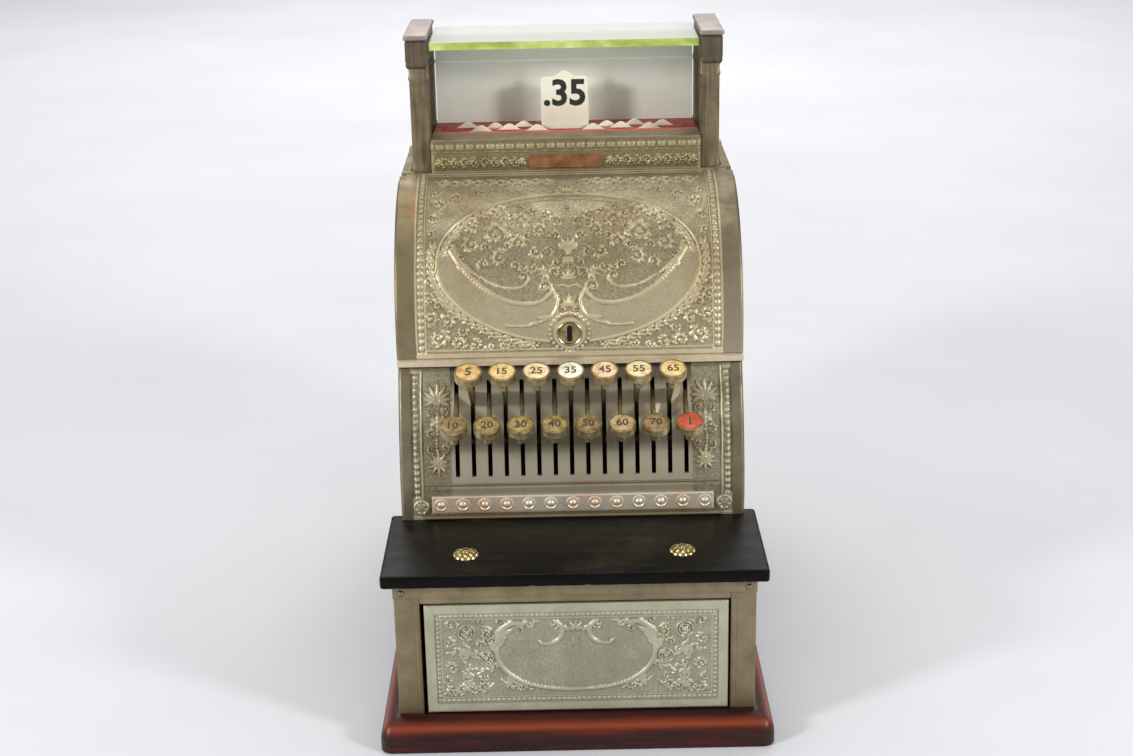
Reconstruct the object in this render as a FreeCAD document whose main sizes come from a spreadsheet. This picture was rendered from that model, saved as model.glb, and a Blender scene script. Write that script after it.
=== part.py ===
"""An antique ticket register: a small counter till with fifteen keys and an indicator box.

Millimetres. +X is the clerk's right, +Y points to the back, +Z is up.
The origin is on the counter, under the middle of the wooden plinth.
"""
import FreeCAD, Part
import math
import os
import Sketcher

doc = FreeCAD.newDocument("register")
sheet = doc.addObject("Spreadsheet::Sheet", "Sizes")
Vector = FreeCAD.Vector


class Size:
    """A length, angle or count, with the number it has now and the formula that keeps it up to date."""

    def __init__(self, value, text):
        self.value = value
        self.text = text

    def __add__(self, other):
        other = as_size(other)
        return Size(self.value + other.value, f"({self.text} + {other.text})")

    def __radd__(self, other):
        return as_size(other) + self

    def __sub__(self, other):
        other = as_size(other)
        return Size(self.value - other.value, f"({self.text} - {other.text})")

    def __rsub__(self, other):
        return as_size(other) - self

    def __mul__(self, other):
        other = as_size(other)
        return Size(self.value * other.value, f"({self.text} * {other.text})")

    def __rmul__(self, other):
        return as_size(other) * self

    def __truediv__(self, other):
        other = as_size(other)
        return Size(self.value / other.value, f"({self.text} / {other.text})")

    def __neg__(self):
        return Size(-self.value, f"(-{self.text})")


def as_size(number):
    """A plain number becomes a size with a fixed formula."""
    if isinstance(number, Size):
        return number
    return Size(float(number), f"({float(number)!r})")


def sine(angle):
    return Size(math.sin(math.radians(angle.value)), f"sin({angle.text} * 1 deg)")


def cosine(angle):
    return Size(math.cos(math.radians(angle.value)), f"cos({angle.text} * 1 deg)")


def tangent(angle):
    return Size(math.tan(math.radians(angle.value)), f"tan({angle.text} * 1 deg)")


def root_of(size):
    return Size(math.sqrt(size.value), f"sqrt({size.text})")


# Clearances and sheet thicknesses used all over the register
seat_gap = 0.3
bore_gap = 0.05
pivot_gap = 0.1
wheel_gap = 0.4
slot_gap = 0.5

# Plinth and drawer case
plinth_side_ledge = 12.5
plinth_front_ledge = 14
plinth_height = 22
plinth_round = 14
runner_width = 12
runner_height = 3.7
runner_inset = 14
case_side_step = 0.5
case_depth = 378
case_height = 95.5
case_wall = 4
post_width = 16.5
post_depth = 14
rail_height = 15.5
rail_depth = 11

# Drawer
drawer_side_gap = 1.3
drawer_top_gap = 0.8
drawer_foot_gap = 1
drawer_face_thickness = 5
drawer_rear_space = 39
drawer_side_height = 62
drawer_board = 8
drawer_floor = 6
drawer_body_inset = 2
divider_thickness = 3
coin_tray_depth = 56
coin_tray_height = 30
coin_cup_radius = 20.5

# Shelf and deck
slab_side_overhang = 7.5
slab_front_overhang = 9
slab_depth = 99
slab_thickness = 8.5
rosette_radius = 8.8
rosette_height = 4.5
rosette_spacing = 142
rosette_from_front = 32

# Cabinet above the deck
cabinet_width = 234
cheek_thickness = 4
plate_thickness = 2.5
keyboard_height = 100
keyboard_flat_height = 22
keyboard_lean = 28
keyboard_radius = 200
keyboard_front = 107
lid_gap = 4
cheek_step = 1.5
lid_radius = 94
lid_skirt = 16
lid_front = 86
lid_lip_height = 5
lid_lip_depth = 3
lid_hinge_drop = 5.5
lid_hinge_inset = 4
hinge_pin_radius = 2
hinge_notch = 10
hinge_notch_depth = 15
hinge_shoulder = 2
ear_wall = 0.5
knuckle_radius = 4.5
knuckle_length = 40
knuckle_from_middle = 50
rear_radius = 92
rear_margin = 3
rear_cover_thickness = 2.7

# Bead strip
bead_strip_width = 192
bead_strip_height = 12.5
bead_strip_thickness = 2
bead_strip_rise = 4.5
bead_radius = 3.7
bead_height = 1.2
bead_spacing = 15

# Keys
key_pitch = 11.1
key_thickness = 2
key_slot_bottom = 30
key_slot_top_margin = 8
pivot_from_front = 73
pivot_height = 28
pivot_shaft_radius = 4
pivot_shaft_end = 2
key_hub_radius = 8
key_tail_margin = 7.5
key_tail_angle = 10
key_travel = 24
key_bar_height = 12
key_arm_height = 9
knee_reach = 46
knee_top_gap = 8.5
key_reach = 102
low_key_rise = 51
high_key_rise = 88
cap_tilt = 20
cap_radius = 9
cap_height = 5.5
cap_recess_depth = 1.3
cap_rim = 1.8
legend_thickness = 1
legend_gap = 0.2
stem_radius = 2.6
stem_length = 9
frame_plate = 4
frame_shoulder = 14
rest_bar_depth = 10
rest_bar_from_pivot = 60

# Indicator box
box_behind_lid = 4
box_depth = 74
box_post_width = 13.5
box_post_depth = 12
box_panel = 4
box_post_height = 75
box_cap_height = 21
box_cap_overhang = 2.5
box_flange = 3.5
flange_rise = 0.5
sill_height = 24
sill_front_step = 6
front_sill_depth = 13
rear_sill_depth = 9
label_width = 52
label_rise = 4.5
label_height = 9.5
label_thickness = 1.5
pane_thickness = 2.5
pane_height = 64
pane_setback = 4
top_pane_thickness = 5.5
top_pane_side_gap = 1.3
channel_thickness = 3.5
screen_thickness = 1.2
screen_height = 45
screen_setback = 3
screen_side_gap = 1

# Price tablets
tablet_pitch = 10.1
tablet_margin = 7.3
tablet_width = 34
tablet_height = 50
tablet_thickness = 1.2
tablet_corner = 5
tablet_peak = 1.5
tablet_tip_show = 4.5
tablet_layer_pitch = 4.5
tablet_setback = 32
tablet_slot_gap = 0.6
tablet_end_gap = 1.5
tablet_rod_width = 4
tablet_foot_radius = 3
tablet_foot_height = 8

# Bridge, counter and bell
bridge_height = 120
bridge_thickness = 3
bridge_margin = 9
counter_bracket_spacing = 68
counter_bracket_thickness = 3
counter_shaft_radius = 2
counter_shaft_end = 1
counter_arm_root = 4
counter_reach = 58
counter_rise = 14
counter_ear_radius = 8
counter_wheel_radius = 15
counter_wheel_width = 9
counter_wheel_pitch = 12
bell_radius = 30
bell_depth = 15
bell_wall = 1.6
bell_shoulder_gap = 0.8
bell_stud_gap = 0.1
bell_post_radius = 4
bell_stud_radius = 2.5
bell_height = 58
bell_from_rear = 60
bell_nut_radius = 5
bell_nut_height = 3

# Lock
lock_rise = 22
lock_radius = 7
lock_length = 18
lock_setback = 0.5
escutcheon_radius = 10.5
escutcheon_thickness = 4
cam_length = 16
cam_width = 8
cam_thickness = 3
cam_seat = 1
keyhole_width = 2
keyhole_height = 8
keyhole_depth = 6

# Each size above becomes a row of the sheet, and its name then stands for that row
driving_sizes = {name: value for name, value in globals().items() if isinstance(value, (int, float))}
for row, (name, value) in enumerate(driving_sizes.items(), start=1):
    sheet.set(f"A{row}", name)
    sheet.set(f"B{row}", str(value))
    sheet.setAlias(f"B{row}", name)
    globals()[name] = Size(float(value), f"Sizes.{name}")

# How far a cutting tool reaches past what it cuts
past = 1

# Counts
coin_cup_count = 4
bead_count = 13
key_count = 15
counter_wheels = 5
layer_order = (1, 3, 0, 2)
tablet_layers = len(layer_order)
shown_tablet = 8

# Levels and planes that several pieces share
case_width = cabinet_width + 2 * case_side_step
plinth_width = case_width + 2 * plinth_side_ledge
plinth_depth = case_depth + 2 * plinth_front_ledge
slab_width = case_width + 2 * slab_side_overhang
case_top = plinth_height + case_height
deck_top = case_top + slab_thickness
case_front = -case_depth / 2
case_rear = case_depth / 2
cabinet_half = cabinet_width / 2
cheek_inner = cabinet_half - cheek_thickness
keyboard_top = deck_top + keyboard_height
lid_bottom = keyboard_top + lid_gap
lid_centre_y = -lid_front + lid_radius
lid_centre_z = lid_bottom + lid_skirt
roof = lid_centre_z + lid_radius
hinge_y = lid_centre_y - lid_hinge_inset
hinge_z = roof - lid_hinge_drop
plate_half = tablet_width / 2
tablet_edge = tablet_pitch * (key_count - 1) / 2 + plate_half
post_inner = tablet_edge + tablet_margin
box_half = post_inner + box_post_width
flange_bottom = roof - box_flange + flange_rise
sill_front = lid_centre_y + box_behind_lid
box_front = sill_front + sill_front_step
box_rear = box_front + box_depth
rear_centre_y = box_rear + rear_margin
rear_centre_z = roof - rear_radius
rear_face = rear_centre_y + rear_radius
sill_top = flange_bottom + sill_height
pivot_y = -keyboard_front + pivot_from_front
pivot_z = deck_top + pivot_height
tablet_first_layer = box_front + tablet_setback
last_layer = tablet_first_layer + tablet_layer_pitch * (tablet_layers - 1)


def bind(thing, **formulas):
    """Ties properties to formulas. A double underscore stands for a dot in the property's name."""
    for prop, size in formulas.items():
        thing.setExpression(prop.replace("__", "."), as_size(size).text)
    return thing


def place(thing, x=0, y=0, z=0):
    """Ties a thing's placement to sizes."""
    return bind(thing, Placement__Base__x=x, Placement__Base__y=y, Placement__Base__z=z)


def block(name, x, y, z):
    """A rectangular block from low to high along each axis: x, y and z are (low, high) pairs."""
    thing = doc.addObject("Part::Box", name)
    bind(thing, Length=as_size(x[1]) - x[0], Width=as_size(y[1]) - y[0], Height=as_size(z[1]) - z[0])
    return place(thing, x[0], y[0], z[0])


def cylinder(name, radius, length, x=0, y=0, z=0, turn=None):
    """A cylinder that starts at x, y, z and runs along Z, or along X or Y after a turn."""
    thing = doc.addObject("Part::Cylinder", name)
    turns = {"x": (Vector(0, 1, 0), 90), "y": (Vector(1, 0, 0), -90)}
    if turn:
        thing.Placement.Rotation = FreeCAD.Rotation(*turns[turn])
    return place(bind(thing, Radius=radius, Height=length), x, y, z)


def ball(name, radius, x, y, z):
    thing = doc.addObject("Part::Sphere", name)
    return place(bind(thing, Radius=radius), x, y, z)


def fused(name, pieces):
    thing = doc.addObject("Part::MultiFuse", name)
    thing.Shapes = pieces
    thing.Refine = True
    return thing


def cut(name, base, tools):
    """Takes every tool away from the base in one step."""
    thing = doc.addObject("Part::Cut", name)
    thing.Base = base
    thing.Tool = tools[0] if len(tools) == 1 else group(f"{name}_tools", tools)
    return thing


def group(name, pieces):
    """Separate solids that share one node."""
    thing = doc.addObject("Part::Compound", name)
    thing.Links = pieces
    return thing


def arc_between(start, end, radius):
    """An arc from start to end. A positive radius turns left, a negative one right.

    Returns the arc, and the ends of it (1 first, 2 last) at which the outline comes in and leaves.
    """
    chord = end - start
    half = chord.Length / 2
    reach = math.sqrt(max(radius * radius - half * half, 0))
    side = Vector(-chord.y, chord.x, 0) / chord.Length
    centre = (start + end) / 2 + side * math.copysign(reach, radius)
    circle = Part.Circle(centre, Vector(0, 0, 1), abs(radius))
    first, last = (start, end) if radius > 0 else (end, start)
    angles = [math.atan2(p.y - centre.y, p.x - centre.x) for p in (first, last)]
    if angles[1] < angles[0]:
        angles[1] += 2 * math.pi
    return Part.ArcOfCircle(circle, *angles), (1, 2) if radius > 0 else (2, 1)


def outline(body, plane, corners):
    """A closed sketch. Each corner is (across, up), or (across, up, radius) where an arc leaves it."""
    sketch = body.newObject("Sketcher::SketchObject", f"{body.Name}_outline")
    base = next(f for f in body.Origin.OriginFeatures if f.Role == plane)
    sketch.AttachmentSupport = [(base, "")]
    sketch.MapMode = "FlatFace"
    corners = [tuple(as_size(v) for v in corner) for corner in corners]
    points = [Vector(c[0].value, c[1].value, 0) for c in corners]
    ends = []
    for number, corner in enumerate(corners):
        start, end = points[number], points[(number + 1) % len(points)]
        if len(corner) == 3:
            edge, order = arc_between(start, end, corner[2].value)
        else:
            edge, order = Part.LineSegment(start, end), (1, 2)
        sketch.addGeometry(edge)
        ends.append(order)
    for number, corner in enumerate(corners):
        follower = (number + 1) % len(corners)
        sketch.addConstraint(
            Sketcher.Constraint("Coincident", number, ends[number][1], follower, ends[follower][0])
        )
        for kind, size in (("DistanceX", corner[0]), ("DistanceY", corner[1])):
            index = sketch.addConstraint(
                Sketcher.Constraint(kind, -1, 1, number, ends[number][0], size.value)
            )
            sketch.setExpression(f"Constraints[{index}]", size.text)
        if len(corner) == 3:
            index = sketch.addConstraint(
                Sketcher.Constraint("Radius", number, abs(corner[2].value))
            )
            sketch.setExpression(f"Constraints[{index}]", f"abs({corner[2].text})")
    return sketch


def profile(name, plane, corners, thickness, x=0, y=0, z=0):
    """A pad of an outline. A YZ pad grows along +X, an XZ pad along -Y and an XY pad along +Z."""
    body = doc.addObject("PartDesign::Body", name)
    sketch = outline(body, plane, corners)
    pad = body.newObject("PartDesign::Pad", f"{name}_pad")
    pad.Profile = sketch
    sketch.Visibility = False
    bind(pad, Length=thickness)
    return place(body, x, y, z)


nodes = {}


def node(name, thing):
    """Names a finished sub-part. Its label is the name of its file."""
    thing.Label = name
    nodes[name] = thing
    return thing


# Plinth: a mahogany board with a rounded edge, and two runners glued on it
half_wide = plinth_width / 2
half_deep = plinth_depth / 2
plinth_edge_height = plinth_height - plinth_round


def rounded_top(half):
    """The board's cross-section above its upright edge, for a board that is 2 * half across."""
    return [
        (-half, plinth_edge_height),
        (half, plinth_edge_height, plinth_round),
        (half - plinth_round, plinth_height),
        (-half + plinth_round, plinth_height, plinth_round),
    ]


plinth_foot = block(
    "plinth_foot", (-half_wide, half_wide), (-half_deep, half_deep), (0, plinth_edge_height)
)
plinth_across = profile(
    "plinth_across", "XZ_Plane", rounded_top(half_wide), plinth_depth, y=half_deep
)
plinth_along = profile(
    "plinth_along", "YZ_Plane", rounded_top(half_deep), plinth_width, x=-half_wide
)
plinth_top = doc.addObject("Part::Common", "plinth_top")
plinth_top.Base = plinth_across
plinth_top.Tool = plinth_along
board = fused("board", [plinth_foot, plinth_top])
opening_half = case_width / 2 - post_width
runner_outer = opening_half - runner_inset
runners = [
    block(
        f"runner_{side}",
        (low, low + runner_width),
        (case_front + rail_depth, case_rear - case_wall),
        (plinth_height, plinth_height + runner_height),
    )
    for side, low in (("left", -runner_outer), ("right", runner_outer - runner_width))
]
node("base_board", group("base_board", [board] + runners))

# Drawer case: two cast sides with a front post each, a back and a front rail
case_half = case_width / 2
for side, sign in (("left", -1), ("right", 1)):
    inner_wall = (case_half - case_wall) * sign
    inner_post = (case_half - post_width) * sign
    outer = case_half * sign
    wall_x = (outer, inner_wall) if sign < 0 else (inner_wall, outer)
    post_x = (outer, inner_post) if sign < 0 else (inner_post, outer)
    wall = block(f"case_wall_{side}", wall_x, (case_front, case_rear), (plinth_height, case_top))
    post = block(
        f"case_post_{side}", post_x, (case_front, case_front + post_depth), (plinth_height, case_top)
    )
    node(f"case_{side}_side", fused(f"case_{side}", [wall, post]))
node(
    "case_back",
    block(
        "case_back",
        (-case_half + case_wall, case_half - case_wall),
        (case_rear - case_wall, case_rear),
        (plinth_height, case_top),
    ),
)
rail_bottom = case_top - rail_height
node(
    "case_front_rail",
    block(
        "case_front_rail",
        (-opening_half, opening_half),
        (case_front, case_front + rail_depth),
        (rail_bottom, case_top),
    ),
)

# Drawer: a cast face, a wooden box in seven boards and a turned coin tray
face_half = opening_half - drawer_side_gap
drawer_bottom = plinth_height + runner_height + seat_gap
face_rear = case_front + drawer_face_thickness
node(
    "drawer_front",
    block(
        "drawer_front",
        (-face_half, face_half),
        (case_front, face_rear),
        (plinth_height + drawer_foot_gap, rail_bottom - drawer_top_gap),
    ),
)
body_half = face_half - drawer_body_inset
drawer_rear = case_rear - case_wall - drawer_rear_space
inner_half = body_half - drawer_board
inner_front = face_rear + drawer_board
inner_rear = drawer_rear - drawer_board
floor_top = drawer_bottom + drawer_floor
side_top = drawer_bottom + drawer_side_height
tray_rear = inner_front + coin_tray_depth
tray_top = floor_top + coin_tray_height
bay_front = tray_rear + divider_thickness
bay_pitch = (2 * inner_half + divider_thickness) / 3
boards = [
    block("drawer_floor_board", (-body_half, body_half), (face_rear, drawer_rear), (drawer_bottom, floor_top)),
    block("drawer_left_board", (-body_half, -inner_half), (face_rear, drawer_rear), (floor_top, side_top)),
    block("drawer_right_board", (inner_half, body_half), (face_rear, drawer_rear), (floor_top, side_top)),
    block("drawer_head_board", (-inner_half, inner_half), (face_rear, inner_front), (floor_top, side_top)),
    block("drawer_tail_board", (-inner_half, inner_half), (inner_rear, drawer_rear), (floor_top, side_top)),
    block("drawer_cross_divider", (-inner_half, inner_half), (tray_rear, bay_front), (floor_top, side_top)),
]
for number in (1, 2):
    low = -inner_half + bay_pitch * number - divider_thickness
    boards.append(
        block(
            f"drawer_divider_{number}",
            (low, low + divider_thickness),
            (bay_front, inner_rear),
            (floor_top, side_top),
        )
    )
node("drawer_box", group("drawer_box", boards))
tray = block("tray_block", (-inner_half, inner_half), (inner_front, tray_rear), (floor_top, tray_top))
cup_pitch = 2 * inner_half / coin_cup_count
cups = [
    ball(
        f"coin_cup_{number}",
        coin_cup_radius,
        -inner_half + cup_pitch * (number + 0.5),
        (inner_front + tray_rear) / 2,
        tray_top,
    )
    for number in range(coin_cup_count)
]
node("coin_tray", cut("coin_tray", tray, cups))

# Shelf slab, its two domed rosettes and the deck behind it
slab_front = case_front - slab_front_overhang
slab_rear = slab_front + slab_depth
node(
    "shelf_slab",
    block(
        "shelf_slab",
        (-slab_width / 2, slab_width / 2),
        (slab_front, slab_rear),
        (case_top, deck_top),
    ),
)
dome_radius = (rosette_radius * rosette_radius + rosette_height * rosette_height) / (2 * rosette_height)
rosettes = []
for side, sign in (("left", -0.5), ("right", 0.5)):
    x = rosette_spacing * sign
    y = slab_front + rosette_from_front
    dome = doc.addObject("Part::Common", f"rosette_{side}")
    dome.Base = ball(f"rosette_ball_{side}", dome_radius, x, y, deck_top + rosette_height - dome_radius)
    dome.Tool = block(
        f"rosette_space_{side}",
        (x - rosette_radius, x + rosette_radius),
        (y - rosette_radius, y + rosette_radius),
        (deck_top, deck_top + rosette_height + past),
    )
    rosettes.append(dome)
node("slab_rosettes", group("slab_rosettes", rosettes))
node(
    "deck_plate",
    block("deck_plate", (-cabinet_half, cabinet_half), (slab_rear, rear_face), (case_top, deck_top)),
)

# Cheeks: the cabinet's two side castings, with an ear each for the lid's hinge pin
cheek_back = plate_thickness + seat_gap
cheek_lid_gap = plate_thickness + slot_gap
keyboard_top_front = -keyboard_front + keyboard_lean
flat_top = deck_top + keyboard_flat_height
cheek_lid_radius = lid_radius - cheek_lid_gap
ear_front = hinge_y - hinge_notch
ear_run = lid_centre_y - ear_front
ear_meet_z = lid_centre_z + root_of(cheek_lid_radius * cheek_lid_radius - ear_run * ear_run)
cheek_rear_radius = rear_radius - rear_cover_thickness - seat_gap
cheek_corners = [
    (-keyboard_front + cheek_back, deck_top),
    (rear_centre_y + cheek_rear_radius, deck_top),
    (rear_centre_y + cheek_rear_radius, rear_centre_z, cheek_rear_radius),
    (rear_centre_y, rear_centre_z + cheek_rear_radius),
    (sill_front, rear_centre_z + cheek_rear_radius),
    (sill_front, hinge_z - hinge_shoulder),
    (ear_front, hinge_z - hinge_shoulder),
    (ear_front, ear_meet_z, cheek_lid_radius),
    (-lid_front + cheek_lid_gap, lid_centre_z),
    (-lid_front + cheek_lid_gap, lid_bottom - cheek_step),
    (keyboard_top_front + cheek_back, keyboard_top),
    (-keyboard_front + cheek_back, flat_top),
]
ear_radius = knuckle_radius + ear_wall
for side, start in (("left", -cabinet_half), ("right", cheek_inner)):
    sheet_part = profile(f"cheek_sheet_{side}", "YZ_Plane", cheek_corners, cheek_thickness, x=start)
    ear = cylinder(f"cheek_ear_{side}", ear_radius, cheek_thickness, start, hinge_y, hinge_z, "x")
    whole = fused(f"cheek_whole_{side}", [sheet_part, ear])
    bore = cylinder(
        f"cheek_bore_{side}",
        hinge_pin_radius + bore_gap,
        cheek_thickness + 2 * past,
        start - past,
        hinge_y,
        hinge_z,
        "x",
    )
    node(f"cheek_{side}", cut(f"cheek_{side}", whole, [bore]))

# Rear cover: one sheet that curves from the indicator box down to the deck
rear_inner = rear_radius - rear_cover_thickness
node(
    "rear_cover",
    profile(
        "rear_cover",
        "YZ_Plane",
        [
            (rear_face, deck_top),
            (rear_face, rear_centre_z, rear_radius),
            (rear_centre_y, roof),
            (rear_centre_y, roof - rear_cover_thickness, -rear_inner),
            (rear_face - rear_cover_thickness, rear_centre_z),
            (rear_face - rear_cover_thickness, deck_top),
        ],
        cabinet_width,
        x=-cabinet_half,
    ),
)

# Keyboard plate with a slot for each key, and the bead strip below the slots
plate_sheet = profile(
    "plate_sheet",
    "YZ_Plane",
    [
        (-keyboard_front, deck_top),
        (-keyboard_front + plate_thickness, deck_top),
        (-keyboard_front + plate_thickness, flat_top, -(keyboard_radius - plate_thickness)),
        (keyboard_top_front + plate_thickness, keyboard_top),
        (keyboard_top_front, keyboard_top, keyboard_radius),
        (-keyboard_front, flat_top),
    ],
    cabinet_width,
    x=-cabinet_half,
)


def key_x(number):
    """The middle of a key, counted from 1 at the left."""
    return key_pitch * (number - (key_count + 1) / 2)


slot_half = key_thickness / 2 + slot_gap
slots = [
    block(
        f"key_slot_{number}",
        (key_x(number) - slot_half, key_x(number) + slot_half),
        (-keyboard_front - past, keyboard_top_front + plate_thickness + past),
        (deck_top + key_slot_bottom, keyboard_top - key_slot_top_margin),
    )
    for number in range(1, key_count + 1)
]
node("keyboard_plate", cut("keyboard_plate", plate_sheet, slots))
strip_bottom = deck_top + bead_strip_rise
strip = block(
    "strip_bar",
    (-bead_strip_width / 2, bead_strip_width / 2),
    (-keyboard_front - bead_strip_thickness, -keyboard_front),
    (strip_bottom, strip_bottom + bead_strip_height),
)
beads = [
    cylinder(
        f"bead_{number}",
        bead_radius,
        bead_strip_thickness,
        bead_spacing * (number - (bead_count - 1) / 2),
        -keyboard_front - bead_strip_thickness - bead_height,
        strip_bottom + bead_strip_height / 2,
        "y",
    )
    for number in range(bead_count)
]
node("bead_strip", fused("bead_strip", [strip] + beads))

# Key shaft in its frame. The frame's bar is what the key tails rest on
hubs_half = key_pitch * key_count / 2 + slot_gap
frame_outer = hubs_half + frame_plate
frame_front = pivot_y - frame_shoulder
bar_rear = pivot_y + rest_bar_from_pivot + rest_bar_depth
tail_half = key_bar_height / (2 * cosine(key_tail_angle))
tail_fall = (rest_bar_from_pivot + rest_bar_depth) * tangent(key_tail_angle)
rest_top = pivot_z - tail_fall - tail_half - seat_gap
frame_pieces = [
    block(
        "frame_left", (-frame_outer, -hubs_half), (frame_front, bar_rear), (deck_top, pivot_z + frame_shoulder)
    ),
    block(
        "frame_right", (hubs_half, frame_outer), (frame_front, bar_rear), (deck_top, pivot_z + frame_shoulder)
    ),
    block(
        "rest_bar", (-hubs_half, hubs_half), (bar_rear - rest_bar_depth, bar_rear), (deck_top, rest_top)
    ),
]
shaft_bore = cylinder(
    "frame_bore",
    pivot_shaft_radius + bore_gap,
    2 * (frame_outer + past),
    -frame_outer - past,
    pivot_y,
    pivot_z,
    "x",
)
node("key_frame", cut("key_frame", fused("frame_casting", frame_pieces), [shaft_bore]))
node(
    "key_shaft",
    cylinder(
        "key_shaft",
        pivot_shaft_radius,
        2 * (frame_outer + pivot_shaft_end),
        -frame_outer - pivot_shaft_end,
        pivot_y,
        pivot_z,
        "x",
    ),
)

# Keys. Each is a stamped lever with a hub, a stem, a rimmed cap and a legend disc
key_tail_length = last_layer + tablet_foot_radius + key_tail_margin - pivot_y
tail_end_drop = key_tail_length * tangent(key_tail_angle)
half_arm = key_arm_height / 2
knee_rise = keyboard_top - key_slot_top_margin - knee_top_gap - half_arm - pivot_z
half_bar = key_bar_height / 2
normal_y = -sine(cap_tilt)
normal_z = cosine(cap_tilt)


def lever_outline(rise):
    """The lever's side outline about its pivot. rise is the height of the cap's face."""
    end_rise = rise - (cap_height + stem_length / 2) * normal_z
    end_reach = key_reach - (cap_height + stem_length / 2) * sine(cap_tilt)
    return [
        (key_tail_length, -tail_end_drop - tail_half),
        (key_tail_length, -tail_end_drop + tail_half),
        (0, tail_half),
        (-knee_reach + half_arm, knee_rise + half_arm),
        (-knee_reach - half_arm, knee_rise + half_arm),
        (-end_reach, end_rise + half_arm),
        (-end_reach - half_arm, end_rise),
        (-end_reach, end_rise - half_arm),
        (-knee_reach - 2 * half_arm, knee_rise - half_arm),
        (-2 * half_bar, -half_bar / 2),
        (0, -tail_half),
    ]


def key_parts(kind, rise):
    """The solids of one kind of key at x = 0: lever, cap and legend disc."""
    blade = profile(
        f"{kind}_blade",
        "YZ_Plane",
        lever_outline(rise),
        key_thickness,
        -key_thickness / 2,
        pivot_y,
        pivot_z,
    )
    hub_width = key_pitch - wheel_gap
    hub = cylinder(f"{kind}_hub", key_hub_radius, hub_width, -hub_width / 2, pivot_y, pivot_z, "x")
    bore = cylinder(
        f"{kind}_bore", pivot_shaft_radius + pivot_gap, key_pitch, -key_pitch / 2, pivot_y, pivot_z, "x"
    )
    face_y = pivot_y - key_reach
    face_z = pivot_z + rise
    cap_y = face_y - cap_height * normal_y
    cap_z = face_z - cap_height * normal_z
    stem = doc.addObject("Part::Cylinder", f"{kind}_stem")
    bind(stem, Radius=stem_radius, Height=stem_length)
    place(stem, 0, cap_y - stem_length * normal_y, cap_z - stem_length * normal_z)
    rim = doc.addObject("Part::Cylinder", f"{kind}_cap_outside")
    place(bind(rim, Radius=cap_radius, Height=cap_height), 0, cap_y, cap_z)
    recess_y = face_y - cap_recess_depth * normal_y
    recess_z = face_z - cap_recess_depth * normal_z
    recess = doc.addObject("Part::Cylinder", f"{kind}_cap_recess")
    place(bind(recess, Radius=cap_radius - cap_rim, Height=cap_height), 0, recess_y, recess_z)
    legend = doc.addObject("Part::Cylinder", f"{kind}_legend")
    legend_radius = cap_radius - cap_rim - legend_gap
    place(bind(legend, Radius=legend_radius, Height=legend_thickness), 0, recess_y, recess_z)
    for thing in (stem, rim, recess, legend):
        thing.Placement.Rotation = FreeCAD.Rotation(Vector(1, 0, 0), cap_tilt.value)
        bind(thing, Placement__Rotation__Angle=cap_tilt)
    lever = cut(f"{kind}_lever", fused(f"{kind}_lever_blank", [blade, hub, stem]), [bore])
    cap = cut(f"{kind}_cap", rim, [recess])
    return [lever, cap, legend]


key_kinds = [key_parts("low_key", low_key_rise), key_parts("high_key", high_key_rise)]
for number in range(1, key_count + 1):
    name = f"key_{number:02d}"
    kind = key_kinds[0] if number % 2 else key_kinds[1]
    node(name, place(group(name, kind), key_x(number), 0, 0))

# Price tablets. Each stands on a rod whose rounded foot sits on its key's tail
pressed_angle = key_travel - key_tail_angle


def foot_level(reach, angle_up, clearance):
    """Height over the pivot of a foot's round centre that just clears a tail at the given slope."""
    return reach * tangent(angle_up) + (key_bar_height / 2 + tablet_foot_radius + clearance) / cosine(angle_up)


def tablet_y(number):
    """The layer of a tablet: neighbours overlap, so they stand one behind the other."""
    return tablet_first_layer + tablet_layer_pitch * layer_order[number % tablet_layers]


def tablet_lift(number):
    """How far a full stroke of the key lifts the tablet."""
    reach = tablet_y(number) - pivot_y
    return foot_level(reach, pressed_angle, seat_gap) - foot_level(reach, -key_tail_angle, seat_gap)


for number in range(1, key_count + 1):
    layer = tablet_y(number)
    reach = layer - pivot_y
    lift = tablet_lift(number)
    raised = lift if number == shown_tablet else as_size(0)
    tip = sill_top + tablet_tip_show + raised
    plate_bottom = tip - tablet_height
    foot_centre = pivot_z + foot_level(reach, -key_tail_angle, seat_gap) + raised
    shoulder = tip - tablet_peak - tablet_corner
    middle = tablet_pitch * (number - (key_count + 1) / 2)
    plate = profile(
        f"tablet_plate_{number:02d}",
        "XZ_Plane",
        [
            (middle - plate_half, plate_bottom),
            (middle + plate_half, plate_bottom),
            (middle + plate_half, shoulder, tablet_corner),
            (middle + plate_half - tablet_corner, shoulder + tablet_corner),
            (middle, tip),
            (middle - plate_half + tablet_corner, shoulder + tablet_corner, tablet_corner),
            (middle - plate_half, shoulder),
        ],
        tablet_thickness,
        y=layer + tablet_thickness / 2,
    )
    half_rod = tablet_thickness / 2
    rod = profile(
        f"tablet_rod_{number:02d}",
        "YZ_Plane",
        [
            (half_rod, plate_bottom),
            (-half_rod, plate_bottom),
            (-half_rod, foot_centre + tablet_foot_height),
            (-tablet_foot_radius, foot_centre + tablet_foot_height / 2),
            (-tablet_foot_radius, foot_centre, tablet_foot_radius),
            (0, foot_centre - tablet_foot_radius, tablet_foot_radius),
            (tablet_foot_radius, foot_centre),
            (tablet_foot_radius, foot_centre + tablet_foot_height / 2),
            (half_rod, foot_centre + tablet_foot_height),
        ],
        tablet_rod_width,
        x=key_x(number) - tablet_rod_width / 2,
        y=layer,
    )
    name = f"tablet_{number:02d}"
    node(name, group(name, [plate, rod]))

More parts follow.
